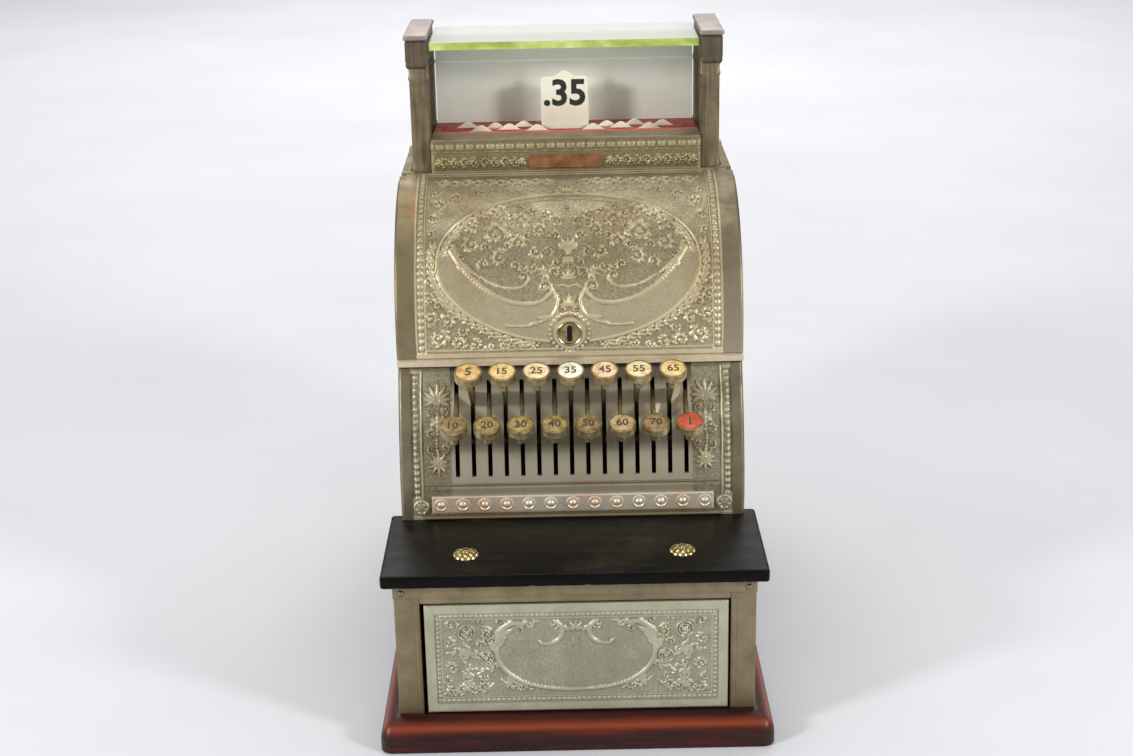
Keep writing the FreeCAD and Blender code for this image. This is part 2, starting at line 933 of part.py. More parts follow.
# Bridge between the cheeks: it guides the tablet rods and carries the counter
bridge_bottom = deck_top + bridge_height
bridge_top = bridge_bottom + bridge_thickness
bridge_bar = block(
    "bridge_bar",
    (-cheek_inner, cheek_inner),
    (tablet_first_layer - bridge_margin, last_layer + bridge_margin),
    (bridge_bottom, bridge_top),
)
counter_y = tablet_first_layer - counter_reach
counter_z = bridge_top + counter_rise
bracket_half = counter_bracket_spacing / 2
brackets = []
for side, low in (("left", -bracket_half - counter_bracket_thickness), ("right", bracket_half)):
    arm = block(
        f"counter_arm_{side}",
        (low, low + counter_bracket_thickness),
        (counter_y, tablet_first_layer - bridge_margin + counter_arm_root),
        (bridge_bottom, counter_z),
    )
    ear = cylinder(
        f"counter_ear_{side}", counter_ear_radius, counter_bracket_thickness, low, counter_y, counter_z, "x"
    )
    brackets += [arm, ear]
bridge = fused("bridge_casting", [bridge_bar] + brackets)
counter_bore = cylinder(
    "counter_bore",
    counter_shaft_radius + pivot_gap,
    counter_bracket_spacing + 2 * (counter_bracket_thickness + past),
    -bracket_half - counter_bracket_thickness - past,
    counter_y,
    counter_z,
    "x",
)
rod_slots = []
for number in range(1, key_count + 1):
    half_long = tablet_rod_width / 2 + tablet_slot_gap
    half_short = tablet_thickness / 2 + tablet_slot_gap
    rod_slots.append(
        block(
            f"rod_slot_{number}",
            (key_x(number) - half_long, key_x(number) + half_long),
            (tablet_y(number) - half_short, tablet_y(number) + half_short),
            (bridge_bottom - past, bridge_top + past),
        )
    )
node("mechanism_bridge", cut("mechanism_bridge", bridge, [counter_bore] + rod_slots))

# Counter: number wheels on one shaft
counter_parts = [
    cylinder(
        "counter_shaft",
        counter_shaft_radius,
        counter_bracket_spacing + 2 * (counter_bracket_thickness + counter_shaft_end),
        -bracket_half - counter_bracket_thickness - counter_shaft_end,
        counter_y,
        counter_z,
        "x",
    )
]
for number in range(counter_wheels):
    counter_parts.append(
        cylinder(
            f"counter_wheel_{number}",
            counter_wheel_radius,
            counter_wheel_width,
            counter_wheel_pitch * (number - (counter_wheels - 1) / 2) - counter_wheel_width / 2,
            counter_y,
            counter_z,
            "x",
        )
    )
node("counter_wheels", fused("counter_wheels", counter_parts))

# Bell: a shallow gong on a shouldered post behind the mechanism
bell_y = rear_face - bell_from_rear
bell_crown = deck_top + bell_height
bell_low = bell_crown - bell_depth
gong_solid = doc.addObject("Part::Common", "gong_solid")
gong_solid.Base = ball("gong_outside", bell_radius, 0, bell_y, bell_crown - bell_radius)
gong_solid.Tool = block(
    "gong_space",
    (-bell_radius, bell_radius),
    (bell_y - bell_radius, bell_y + bell_radius),
    (bell_low, bell_crown + past),
)
gong = cut(
    "gong",
    gong_solid,
    [
        ball("gong_inside", bell_radius - bell_wall, 0, bell_y, bell_crown - bell_radius),
        cylinder("gong_hole", bell_stud_radius + pivot_gap, bell_depth + past, 0, bell_y, bell_low),
    ],
)
crown_under = bell_crown - bell_wall
post_top = crown_under - bell_shoulder_gap
bell_post = fused(
    "bell_post",
    [
        cylinder("bell_column", bell_post_radius, post_top - deck_top, 0, bell_y, deck_top),
        cylinder(
            "bell_stud", bell_stud_radius, bell_height, 0, bell_y, deck_top + bell_nut_height + bell_stud_gap
        ),
        cylinder("bell_nut", bell_nut_radius, bell_nut_height, 0, bell_y, bell_crown + bell_stud_gap),
    ],
)
node("bell", group("bell", [gong, bell_post]))

# Lid: a curved shell, two hinge knuckles and the lock's raised ring
lid_inner = lid_radius - plate_thickness
lid_sheet = profile(
    "lid_sheet",
    "YZ_Plane",
    [
        (-lid_front + plate_thickness, lid_bottom),
        (-lid_front + plate_thickness, lid_centre_z, -lid_inner),
        (lid_centre_y, roof - plate_thickness),
        (lid_centre_y, roof, lid_radius),
        (-lid_front, lid_centre_z),
        (-lid_front, lid_bottom + lid_lip_height),
        (-lid_front - lid_lip_depth, lid_bottom + lid_lip_height - lid_lip_depth / 2),
        (-lid_front - lid_lip_depth, lid_bottom),
    ],
    cabinet_width,
    x=-cabinet_half,
)
knuckles = [
    cylinder(f"knuckle_{side}", knuckle_radius, knuckle_length, low, hinge_y, hinge_z, "x")
    for side, low in (("left", -knuckle_from_middle - knuckle_length), ("right", knuckle_from_middle))
]
corner_inner = cheek_inner - slot_gap
corner_y = (ear_front - past, lid_centre_y + past)
corner_z = (hinge_z - hinge_notch_depth, roof + past)
corner_cuts = [
    block(f"lid_corner_{side}", x, corner_y, corner_z)
    for side, x in (
        ("left", (-cabinet_half - past, -corner_inner)),
        ("right", (corner_inner, cabinet_half + past)),
    )
]
lock_z = lid_bottom + lock_rise
lid_tools = corner_cuts + [
    cylinder(
        "lid_pin_bore", hinge_pin_radius + pivot_gap, cabinet_width, -cabinet_half, hinge_y, hinge_z, "x"
    ),
    cylinder(
        "lid_lock_bore", lock_radius + seat_gap, lock_length, 0, -lid_front - escutcheon_thickness, lock_z, "y"
    ),
]
lid_shell = cut("lid_shell", fused("lid_blank", [lid_sheet] + knuckles), lid_tools)
ring_front = -lid_front - escutcheon_thickness
escutcheon = cut(
    "escutcheon",
    cylinder("escutcheon_disc", escutcheon_radius, escutcheon_thickness, 0, ring_front, lock_z, "y"),
    [
        cylinder("escutcheon_bore", lock_radius + seat_gap, lock_length, 0, ring_front - past, lock_z, "y"),
    ],
)
node("lid", group("lid", [lid_shell, escutcheon]))
node(
    "lid_hinge_pin",
    cylinder("lid_hinge_pin", hinge_pin_radius, cabinet_width, -cabinet_half, hinge_y, hinge_z, "x"),
)

# Lock barrel with its cam and its keyhole
lock_front = ring_front + lock_setback
barrel = cylinder("lock_plug", lock_radius, lock_length, 0, lock_front, lock_z, "y")
cam_front = lock_front + lock_length
cam = block(
    "lock_cam",
    (-cam_width / 2, cam_width / 2),
    (cam_front - cam_seat, cam_front - cam_seat + cam_thickness),
    (lock_z - cam_length, lock_z + cam_width / 2),
)
keyhole = block(
    "keyhole",
    (-keyhole_width / 2, keyhole_width / 2),
    (lock_front - past, lock_front + keyhole_depth),
    (lock_z - keyhole_height / 2, lock_z + keyhole_height / 2),
)
node("lock_barrel", cut("lock_barrel", fused("lock_blank", [barrel, cam]), [keyhole]))

# Indicator box: two cast side frames, sills, floor, panes and back screen
box_cap_bottom = roof + box_post_height
box_top = box_cap_bottom + box_cap_height


def spread(sign, low, high):
    """A span measured out from the middle, to the left where sign is -1."""
    return (low, high) if sign > 0 else (-high, -low)


for side, sign in (("left", -1), ("right", 1)):
    front_post = (box_front, box_front + box_post_depth)
    rear_post = (box_rear - box_post_depth, box_rear)
    post_across = spread(sign, post_inner, box_half)
    pieces = [
        block(f"box_front_post_{side}", post_across, front_post, (flange_bottom, box_cap_bottom)),
        block(f"box_rear_post_{side}", post_across, rear_post, (flange_bottom, box_cap_bottom)),
        block(
            f"box_side_panel_{side}",
            spread(sign, box_half - box_panel, box_half),
            (box_front, box_rear),
            (flange_bottom, box_cap_bottom),
        ),
        block(
            f"box_cap_{side}",
            spread(sign, post_inner, box_half + box_cap_overhang),
            (box_front - box_cap_overhang, box_rear + box_cap_overhang),
            (box_cap_bottom, box_top),
        ),
        block(
            f"box_flange_{side}",
            spread(sign, post_inner, cabinet_half),
            (sill_front, rear_centre_y),
            (flange_bottom, flange_bottom + box_flange),
        ),
    ]
    node(f"sign_{side}_frame", fused(f"sign_{side}", pieces))
front_sill = block(
    "front_sill",
    (-post_inner, post_inner),
    (sill_front, sill_front + front_sill_depth),
    (flange_bottom, sill_top),
)
rear_sill = block(
    "rear_sill",
    (-post_inner, post_inner),
    (rear_centre_y - rear_sill_depth, rear_centre_y),
    (flange_bottom, sill_top),
)
label_bottom = flange_bottom + label_rise
label = block(
    "sill_label",
    (-label_width / 2, label_width / 2),
    (sill_front - label_thickness, sill_front),
    (label_bottom, label_bottom + label_height),
)
node("sign_sills", group("sign_sills", [front_sill, rear_sill, label]))
channel_front = sill_front + front_sill_depth
channel_rear = rear_centre_y - rear_sill_depth
channel_sheet = block(
    "channel_sheet",
    (-post_inner, post_inner),
    (channel_front, channel_rear),
    (sill_top - channel_thickness, sill_top),
)
layer_slots = []
for layer in range(tablet_layers):
    middle = tablet_first_layer + tablet_layer_pitch * layer
    half_short = tablet_thickness / 2 + tablet_slot_gap
    layer_slots.append(
        block(
            f"layer_slot_{layer}",
            (-tablet_edge - tablet_end_gap, tablet_edge + tablet_end_gap),
            (middle - half_short, middle + half_short),
            (sill_top - channel_thickness - past, sill_top + past),
        )
    )
node("sign_channel", cut("sign_channel", channel_sheet, layer_slots))
pane_top = sill_top + pane_height
pane_front = box_front + pane_setback
pane_rear = box_rear - pane_setback
top_half = post_inner - top_pane_side_gap
panes = [
    block(
        "front_pane",
        (-post_inner, post_inner),
        (pane_front - pane_thickness / 2, pane_front + pane_thickness / 2),
        (sill_top, pane_top),
    ),
    block(
        "rear_pane",
        (-post_inner, post_inner),
        (pane_rear - pane_thickness / 2, pane_rear + pane_thickness / 2),
        (sill_top, pane_top),
    ),
    block(
        "top_pane",
        (-top_half, top_half),
        (box_front, box_rear),
        (pane_top, pane_top + top_pane_thickness),
    ),
]
node("sign_glass", group("sign_glass", panes))
screen_rear = channel_rear - screen_setback
node(
    "back_screen",
    block(
        "back_screen",
        (-post_inner + screen_side_gap, post_inner - screen_side_gap),
        (screen_rear - screen_thickness, screen_rear),
        (sill_top, sill_top + screen_height),
    ),
)

doc.recompute()
for thing in doc.Objects:
    if "Invalid" in thing.State or "Error" in thing.State:
        raise RuntimeError(f"{thing.Name} failed: {thing.State}")
for name, thing in nodes.items():
    if thing.Shape.isNull() or not thing.Shape.isValid() or not thing.Shape.Solids:
        raise RuntimeError(f"{name} has no valid shape")

os.makedirs("parts", exist_ok=True)
for name, thing in nodes.items():
    thing.Shape.exportStep(f"parts/{name}.step")
print(f"{len(nodes)} sub-parts written")
print(f"lift of the middle tablet: {tablet_lift(shown_tablet).value:.2f} mm")
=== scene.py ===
# %% [markdown]
# An antique ticket register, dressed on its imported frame.
# The frame gives every node its place: metres, +Z up, +Y to the back, the origin under the plinth.
# Every piece here is a surface worked out in millimetres and made a mesh in metres.

# %% Load the frame
import math

import bpy
import numpy as np
from mathutils import Matrix, Vector


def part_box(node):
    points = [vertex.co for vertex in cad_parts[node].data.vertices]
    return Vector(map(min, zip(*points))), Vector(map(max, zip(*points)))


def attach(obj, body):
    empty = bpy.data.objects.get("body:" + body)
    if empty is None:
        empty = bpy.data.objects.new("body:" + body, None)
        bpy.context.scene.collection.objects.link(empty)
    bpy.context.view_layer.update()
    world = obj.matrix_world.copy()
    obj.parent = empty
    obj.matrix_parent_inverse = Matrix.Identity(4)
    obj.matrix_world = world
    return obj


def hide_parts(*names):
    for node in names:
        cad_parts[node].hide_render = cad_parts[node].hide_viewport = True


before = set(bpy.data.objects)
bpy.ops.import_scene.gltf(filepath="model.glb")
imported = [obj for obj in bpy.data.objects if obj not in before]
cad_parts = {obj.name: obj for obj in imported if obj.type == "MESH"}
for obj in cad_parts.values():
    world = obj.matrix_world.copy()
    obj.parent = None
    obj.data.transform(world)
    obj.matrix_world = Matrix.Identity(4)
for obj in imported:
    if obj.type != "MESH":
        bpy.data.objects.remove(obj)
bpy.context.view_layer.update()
MM = 0.001

# %% [markdown]
# The camera looks at the register from the front and 19.5 degrees above it, from a little over a metre away.
# It could be aimed with a constraint, but a plain matrix keeps the small roll that the photograph has.

# %% Camera
PITCH = math.radians(19.5)
ROLL = math.radians(-1.15)
CAMERA_PLACE = (-0.0027, -1.269, 0.638)
SENSOR_WIDTH = 36.0
PHOTO_WIDTH = 1133
FOCAL_LENGTH_IN_PIXELS = 1850
camera_data = bpy.data.cameras.new("camera")
camera_data.sensor_width = SENSOR_WIDTH
camera_data.lens = SENSOR_WIDTH * FOCAL_LENGTH_IN_PIXELS / PHOTO_WIDTH
camera = bpy.data.objects.new("camera", camera_data)
bpy.context.scene.collection.objects.link(camera)
tilt = Matrix.Rotation(math.pi / 2 - PITCH, 4, "X") @ Matrix.Rotation(ROLL, 4, "Z")
camera.matrix_world = Matrix.Translation(CAMERA_PLACE) @ tilt
bpy.context.scene.camera = camera
print("lens", round(camera_data.lens, 2))

# %% [markdown]
# A register of this kind is photographed on white paper under large soft lamps.
# A sphere of images would give richer reflections, but plain area lamps and a pale world are enough here
# and keep every colour at about the value that it is written with.

# %% Lamps
CABINET_MIDDLE = (0, -0.05, 0.2)


def lamp(name, place, target, size, power):
    """A square soft lamp at a place, turned so that it faces the target."""
    data = bpy.data.lights.new(name, "AREA")
    data.size = size
    data.energy = power
    lamp_object = bpy.data.objects.new(name, data)
    aim = (Vector(target) - Vector(place)).to_track_quat("-Z", "Y")
    lamp_object.matrix_world = Matrix.Translation(place) @ aim.to_matrix().to_4x4()
    bpy.context.scene.collection.objects.link(lamp_object)


lamp("left_front", (-1.45, -1.15, 0.95), CABINET_MIDDLE, 0.3, 21)
lamp("right_front", (1.45, -1.15, 0.95), CABINET_MIDDLE, 0.3, 19)
lamp("overhead", (0, 0.25, 1.9), (0, 0, 0.2), 1.0, 9)
lamp("far_floor", (0, 2.6, 2.1), (0, 2.6, 0), 2.6, 68)
print("lamps", len(bpy.data.lights))

# %% [markdown]
# The room shows in the metal as a dim warm grey, but the paper behind the register is nearly white.
# A backdrop sheet would do it. A world that answers a camera ray with another shade needs no sheet, and
# whatever is seen through the panes gets the same shade.

# %% World
world = bpy.data.worlds.new("studio")
bpy.context.scene.world = world
world.use_nodes = True
world_nodes = world.node_tree.nodes
world_nodes.clear()


def glow(shade, strength):
    """An even light from all round."""
    node = world_nodes.new("ShaderNodeBackground")
    node.inputs["Color"].default_value = shade
    node.inputs["Strength"].default_value = strength
    return node.outputs[0]


path = world_nodes.new("ShaderNodeLightPath")
seen = world_nodes.new("ShaderNodeMath")
seen.operation = "MAXIMUM"
world_mix = world_nodes.new("ShaderNodeMixShader")
world_out = world_nodes.new("ShaderNodeOutputWorld")
for source, socket in (
    (path.outputs["Is Camera Ray"], seen.inputs[0]),
    (path.outputs["Is Transmission Ray"], seen.inputs[1]),
    (seen.outputs[0], world_mix.inputs[0]),
    (glow((1.0, 0.985, 0.96, 1), 0.36), world_mix.inputs[1]),
    (glow((0.87, 0.88, 0.93, 1), 1.0), world_mix.inputs[2]),
    (world_mix.outputs[0], world_out.inputs["Surface"]),
):
    world.node_tree.links.new(source, socket)
print("world nodes", len(world_nodes))

# %% [markdown]
# Finishes are made of the same few nodes: noise read at the object's own coordinates, a colour ramp,
# and a bump. Helpers keep each finish to a few lines. Whatever is the same all over a surface is
# written straight on the shader.

# %% Colours and noise


def colour(red, green, blue):
    """A colour given as screen values from 0 to 255, as the linear values that a shader takes."""
    screen = np.array([red, green, blue]) / 255
    linear = np.where(screen <= 0.04045, screen / 12.92, ((screen + 0.055) / 1.055) ** 2.4)
    return (*linear.tolist(), 1.0)


def finish(name, base, **sockets):
    """A new material. Each keyword sets one socket of its shader, with spaces for underscores."""
    material = bpy.data.materials.new(name)
    material.use_nodes = True
    shader = material.node_tree.nodes["Principled BSDF"]
    shader.inputs["Base Color"].default_value = colour(*base)
    for socket, value in sockets.items():
        shader.inputs[socket.replace("_", " ")].default_value = value
    return material


def grain(material, size, stretch=(1, 1, 1), detail=5.0, rough=0.55):
    """Noise in lumps about size millimetres across, drawn out along an axis where stretch is under 1."""
    tree = material.node_tree
    place = tree.nodes.new("ShaderNodeTexCoord")
    turn = tree.nodes.new("ShaderNodeMapping")
    turn.inputs["Scale"].default_value = stretch
    tree.links.new(place.outputs["Object"], turn.inputs["Vector"])
    noise = tree.nodes.new("ShaderNodeTexNoise")
    noise.inputs["Scale"].default_value = 1000 / size
    noise.inputs["Detail"].default_value = detail
    noise.inputs["Roughness"].default_value = rough
    tree.links.new(turn.outputs["Vector"], noise.inputs["Vector"])
    return noise.outputs["Fac"]


def level(material, low, high):
    """How far up a point lies between two levels in millimetres, as a number from 0 to 1."""
    tree = material.node_tree
    place = tree.nodes.new("ShaderNodeTexCoord")
    parts = tree.nodes.new("ShaderNodeSeparateXYZ")
    share = tree.nodes.new("ShaderNodeMapRange")
    share.inputs["From Min"].default_value = low * MM
    share.inputs["From Max"].default_value = high * MM
    tree.links.new(place.outputs["Object"], parts.inputs[0])
    tree.links.new(parts.outputs["Z"], share.inputs["Value"])
    return share.outputs["Result"]


def stored(material, name):
    """A number that the mesh keeps for each of its points."""
    node = material.node_tree.nodes.new("ShaderNodeAttribute")
    node.attribute_name = name
    return node.outputs["Fac"]


print("mid grey on screen is", round(colour(128, 128, 128)[0], 3), "in a shader")

# %% [markdown]
# A number becomes a tone in a colour ramp, one tone is laid over another by a third number, and the same
# noise can raise the surface. A real mask could be painted by hand, but these few steps do it for any piece.

# %% Ramps, blends and bumps


def banded(material, source, stops):
    """A colour ramp whose stops are (number, linear colour)."""
    node = material.node_tree.nodes.new("ShaderNodeValToRGB")
    band = node.color_ramp
    while len(band.elements) < len(stops):
        band.elements.new(0.5)
    for element, (place, shade) in zip(band.elements, stops):
        element.position = place
        element.color = shade
    material.node_tree.links.new(source, node.inputs["Fac"])
    return node.outputs["Color"]


def ramp(material, source, stops):
    """Turns a number into a colour: stops are (number, colour on screen)."""
    return banded(material, source, [(place, colour(*shade)) for place, shade in stops])


def grey(material, source, stops):
    """Turns a number into another number: stops are (number in, number out)."""
    return banded(material, source, [(place, (value, value, value, 1)) for place, value in stops])


def blended(material, factor, first, second, mode="MIX"):
    """One colour over another, by a number from 0 to 1. Each colour is a socket or a screen colour."""
    node = material.node_tree.nodes.new("ShaderNodeMix")
    node.data_type = "RGBA"
    node.blend_type = mode
    for socket, value in ((node.inputs[0], factor), (node.inputs[6], first), (node.inputs[7], second)):
        if isinstance(value, bpy.types.NodeSocket):
            material.node_tree.links.new(value, socket)
        elif isinstance(value, tuple):
            socket.default_value = colour(*value)
        else:
            socket.default_value = value
    return node.outputs[2]


def paint(material, socket, source):
    """Feeds one socket of the shader."""
    shader = material.node_tree.nodes["Principled BSDF"]
    material.node_tree.links.new(source, shader.inputs[socket])


def bumped(material, source, height):
    """Raises the surface by up to height millimetres where the source is 1."""
    node = material.node_tree.nodes.new("ShaderNodeBump")
    node.inputs["Distance"].default_value = height * MM
    node.inputs["Strength"].default_value = 1.0
    material.node_tree.links.new(source, node.inputs["Height"])
    paint(material, "Normal", node.outputs["Normal"])


print("finish helpers ready")

# %% [markdown]
# Nickel over cast iron is never one colour after a century: it is warm grey on the high spots, brown where
# hands and damp have worked on it, and nearly black deep in the ornament.
# A dirt mask could be baked, but here each relief stores its own height, so the finish reads
# that height and darkens the ground of the ornament with it.

# %% Aged nickel
NICKEL_ROUGHNESS = 0.46


def lighter(shade, step):
    """A screen colour with the same step added to each of its parts."""
    return tuple(min(255, part + step) for part in shade)


def aged_nickel(name, high, low, stain, relief=0.0, stained=0.65, streaks=0.0, painted_light_and_shade=None):
    """Nickel with a mottled tone and a stain in large soft patches. Relief darkens a stippled ground,
    streaks run down a post, and the last argument is painted light and shade: (two levels, paler stops,
    darker stops), painted between those levels."""
    material = finish(name, high, Metallic=0.8, Roughness=NICKEL_ROUGHNESS)
    mottle = grain(material, 16, detail=8, rough=0.65)
    tone = ramp(material, mottle, [(0.2, low), (0.52, high), (0.8, lighter(high, 16))])
    patches = grain(material, 60, stretch=(1.3, 1, 0.6), detail=4)
    tone = blended(material, grey(material, patches, [(0.5, 0.0), (0.7, stained)]), tone, stain)
    fine = grain(material, 1.5, detail=4, rough=0.7)
    dark = tuple(int(part * 0.4) for part in low)
    # Painted light and painted shade, by height between two levels.
    if painted_light_and_shade:
        levels, paler, darker = painted_light_and_shade
        share = level(material, *levels)
        tone = blended(material, grey(material, share, paler), tone, lighter(high, 48))
        tone = blended(material, grey(material, share, darker), tone, dark)
    if relief:
        height = stored(material, "relief")
        ground = grey(material, height, [(0.0, relief), (0.3, relief * 0.55), (0.8, 0.0)])
        speckled = grey(material, fine, [(0.38, 0.95), (0.62, 0.3)])
        tone = blended(material, blended(material, 1.0, ground, speckled, "MULTIPLY"), tone, dark)
    if streaks:
        drawn = grain(material, 2.2, stretch=(1, 1, 0.05), detail=4)
        tone = blended(material, grey(material, drawn, [(0.45, 0.0), (0.65, streaks)]), tone, dark)
    paint(material, "Base Color", tone)
    duller = [(0.3, NICKEL_ROUGHNESS + 0.14), (0.7, NICKEL_ROUGHNESS - 0.06)]
    paint(material, "Roughness", grey(material, mottle, duller))
    bumped(material, fine, 0.16 if relief else 0.05)
    return material


print("nickel roughness", NICKEL_ROUGHNESS)

# %% [markdown]
# Each casting has aged in its own way, so each gets its own tones: clean, dirty and stained. The lid has
# painted light towards its lip and painted shade at its top, and the keyboard plate has painted shadows
# under each row of caps with painted light between them.

# %% Nickel tones
# Painted light on the lower part of the lid and painted shade at its top, between two levels in millimetres.
painted_lid_light_and_shade = ((232, 338), [(0.0, 0.6), (0.3, 0.3), (0.6, 0.0)], [(0.62, 0.0), (0.95, 0.2)])
# Painted shadows under each row of key caps on the keyboard plate, and painted light between the rows.
painted_cap_shadows_and_light = (
    (126, 232),
    [(0.0, 0.1), (0.3, 0.35), (0.42, 0.35), (0.48, 0.0), (0.62, 0.0), (0.7, 0.5), (0.8, 0.5), (0.85, 0.0)],
    [(0.42, 0.0), (0.49, 0.5), (0.54, 0.5), (0.62, 0.0), (0.8, 0.0), (0.87, 0.65), (0.93, 0.65), (1.0, 0.4)],
)
nickel_tones = {
    "cabinet": ((150, 138, 112), (126, 115, 91), (126, 104, 76), {"stained": 0.35}),
    "relief": ((190, 178, 144), (152, 140, 108), (156, 134, 92), {"relief": 0.62, "painted_light_and_shade": painted_lid_light_and_shade}),
    "field": ((184, 172, 138), (152, 140, 108), (152, 132, 92), {"relief": 0.62}),
    "plate": ((164, 156, 134), (136, 128, 106), (138, 122, 94), {"stained": 0.4, "painted_light_and_shade": painted_cap_shadows_and_light}),
    "keyboard": ((196, 188, 160), (156, 148, 120), (154, 138, 104), {"relief": 0.62}),
    "drawer": ((190, 187, 163), (168, 165, 142), (170, 165, 140), {"relief": 0.42}),
    "case": ((144, 130, 102), (120, 108, 83), (126, 107, 78), {"stained": 0.4}),
    "sign": ((142, 126, 100), (108, 96, 74), (116, 94, 64), {"streaks": 0.45}),
    "cap": ((112, 100, 82), (84, 75, 62), (92, 78, 62), {"streaks": 0.3}),
    "cap_top": ((158, 148, 142), (140, 128, 120), (146, 132, 122), {"stained": 0.3}),
    "lip": ((222, 208, 180), (188, 172, 142), (176, 152, 112), {"stained": 0.4}),
    "sill": ((180, 168, 130), (142, 130, 96), (154, 134, 90), {"relief": 0.62}),
    "strip": ((240, 228, 204), (212, 194, 170), (226, 190, 162), {"relief": 0.5}),
    "band": ((134, 124, 101), (104, 94, 74), (116, 97, 70), {}),
    "lid_band": ((136, 125, 101), (104, 94, 74), (116, 97, 70), {"painted_light_and_shade": painted_lid_light_and_shade}),
    "stained": ((136, 122, 94), (98, 100, 66), (158, 96, 54), {"stained": 1.0}),
}
nickel = {}
for part, (clean, dirty, stain, ageing) in nickel_tones.items():
    nickel[part] = aged_nickel(f"{part}_nickel", clean, dirty, stain, **ageing)
print("nickel finishes", len(nickel))

# %% [markdown]
# Mahogany shows long fibres, so its noise is drawn out along the board. The stone is layered and has
# weathered in patches. Photographs of wood and stone would be truer but would stretch over the
# mouldings, and noise doesn't.

# %% Wood and stone
plinth_wood = finish(
    "plinth_wood", (60, 20, 16), Roughness=0.4, Coat_Weight=0.08, Coat_Roughness=0.2, Specular_IOR_Level=0.3
)
fibres = grain(plinth_wood, 5, stretch=(0.08, 1, 1), detail=8, rough=0.65)
wood_stops = [(0.28, (22, 7, 7)), (0.5, (46, 12, 10)), (0.68, (72, 22, 15)), (0.85, (100, 40, 23))]
wood_tone = ramp(plinth_wood, fibres, wood_stops)
# The stored band turns the wood orange: partly rubbed wear, partly a painted sheen.
wood_tone = blended(plinth_wood, stored(plinth_wood, "relief"), wood_tone, (150, 66, 34))
paint(plinth_wood, "Base Color", wood_tone)
bumped(plinth_wood, fibres, 0.12)

till_wood = finish("till_wood", (150, 104, 62), Roughness=0.55)
till_fibres = grain(till_wood, 6, stretch=(1, 0.08, 1), detail=7, rough=0.6)
till_stops = [(0.3, (104, 66, 36)), (0.55, (152, 104, 62)), (0.8, (184, 136, 88))]
paint(till_wood, "Base Color", ramp(till_wood, till_fibres, till_stops))
bumped(till_wood, till_fibres, 0.15)

slate = finish("slate", (22, 20, 18), Roughness=0.4, Specular_IOR_Level=0.14)
layers = grain(slate, 14, stretch=(0.35, 1, 1), detail=9, rough=0.62)
slate_tone = ramp(slate, layers, [(0.3, (8, 7, 7)), (0.55, (19, 17, 14)), (0.75, (46, 40, 33))])
weather = grey(slate, grain(slate, 95, stretch=(1, 0.7, 1), detail=7, rough=0.7), [(0.53, 0.0), (0.68, 0.6)])
slate_tone = blended(slate, weather, slate_tone, (66, 54, 42))
slate_tone = blended(slate, stored(slate, "relief"), slate_tone, (2, 2, 3))
paint(slate, "Base Color", slate_tone)
paint(slate, "Roughness", grey(slate, layers, [(0.3, 0.3), (0.8, 0.6)]))
bumped(slate, layers, 0.3)
print("wood and stone", 3)

# %% [markdown]
# The other metals and paints are simple: a tone that drifts in small lumps between two or three
# shades, over a finer grain that the light picks up. One helper makes them all.

# %% Metals, paints and inks


def mottled(name, base, lumps, stops, fine=None, depth=0.0, **sockets):
    """A finish whose colour drifts in lumps of a size in millimetres, over a fine grain raised by a depth.
    Where the noise needs more than a size, lumps or fine is a dictionary of what grain takes."""
    material = finish(name, base, **sockets)
    lumps = lumps if isinstance(lumps, dict) else {"size": lumps}
    paint(material, "Base Color", ramp(material, grain(material, **lumps), stops))
    if fine:
        bumped(material, grain(material, **fine), depth)
    return material


def fine_grain(size, detail=2.0, stretch=(1, 1, 1)):
    """What the noise of a fine bump needs."""
    return {"size": size, "detail": detail, "stretch": stretch}


brass = mottled(
    "polished_brass", (206, 190, 130), {"size": 6, "detail": 4},
    [(0.3, (166, 144, 84)), (0.6, (214, 200, 146))],
    fine_grain(0.8), 0.02, Metallic=1.0, Roughness=0.24,
)
lock_brass = mottled(
    "lock_brass", (176, 156, 100), 5, [(0.3, (128, 112, 70)), (0.65, (206, 194, 150))],
    fine_grain(0.7), 0.03, Metallic=1.0, Roughness=0.32,
)
steel = mottled(
    "machined_steel", (150, 150, 148), 9, [(0.3, (104, 100, 94)), (0.7, (168, 167, 162))],
    fine_grain(1.1, 5.0, (0.2, 1, 1)), 0.03, Metallic=1.0, Roughness=0.36,
)
cast_iron = mottled(
    "cast_iron", (44, 42, 40), 12, [(0.3, (30, 28, 26)), (0.75, (66, 60, 54))],
    fine_grain(1.6, 5.0), 0.2, Metallic=0.3, Roughness=0.62,
)
bell_metal = mottled(
    "bell_metal", (196, 186, 150), 16, [(0.3, (150, 132, 92)), (0.7, (206, 198, 166))],
    fine_grain(0.9, 5.0, (1, 1, 0.2)), 0.02, Metallic=1.0, Roughness=0.24,
)
key_metal = mottled(
    "key_metal", (178, 160, 118), 5, [(0.3, (128, 108, 68)), (0.55, (178, 160, 118)), (0.8, (210, 196, 154))],
    fine_grain(0.8), 0.03, Metallic=0.85, Roughness=0.36,
)
copper = mottled(
    "copper_label", (150, 108, 70), 8, [(0.3, (128, 84, 50)), (0.65, (170, 122, 82))],
    fine_grain(0.9, 5.0), 0.05, Metallic=0.6, Roughness=0.5,
)
red_lining = mottled(
    "red_lining", (150, 34, 22), 7, [(0.3, (118, 18, 13)), (0.7, (180, 46, 28))],
    fine_grain(0.7), 0.1, Roughness=0.65,
)
red_paint = mottled(
    "red_paint", (206, 84, 52), 6, [(0.3, (178, 62, 36)), (0.7, (218, 104, 70))],
    fine_grain(1.0), 0.05, Roughness=0.55,
)
enamel = mottled(
    "tablet_enamel", (252, 250, 228), 14, [(0.3, (246, 243, 216)), (0.7, (254, 253, 236))],
    fine_grain(2.0), 0.02, Roughness=0.28,
)
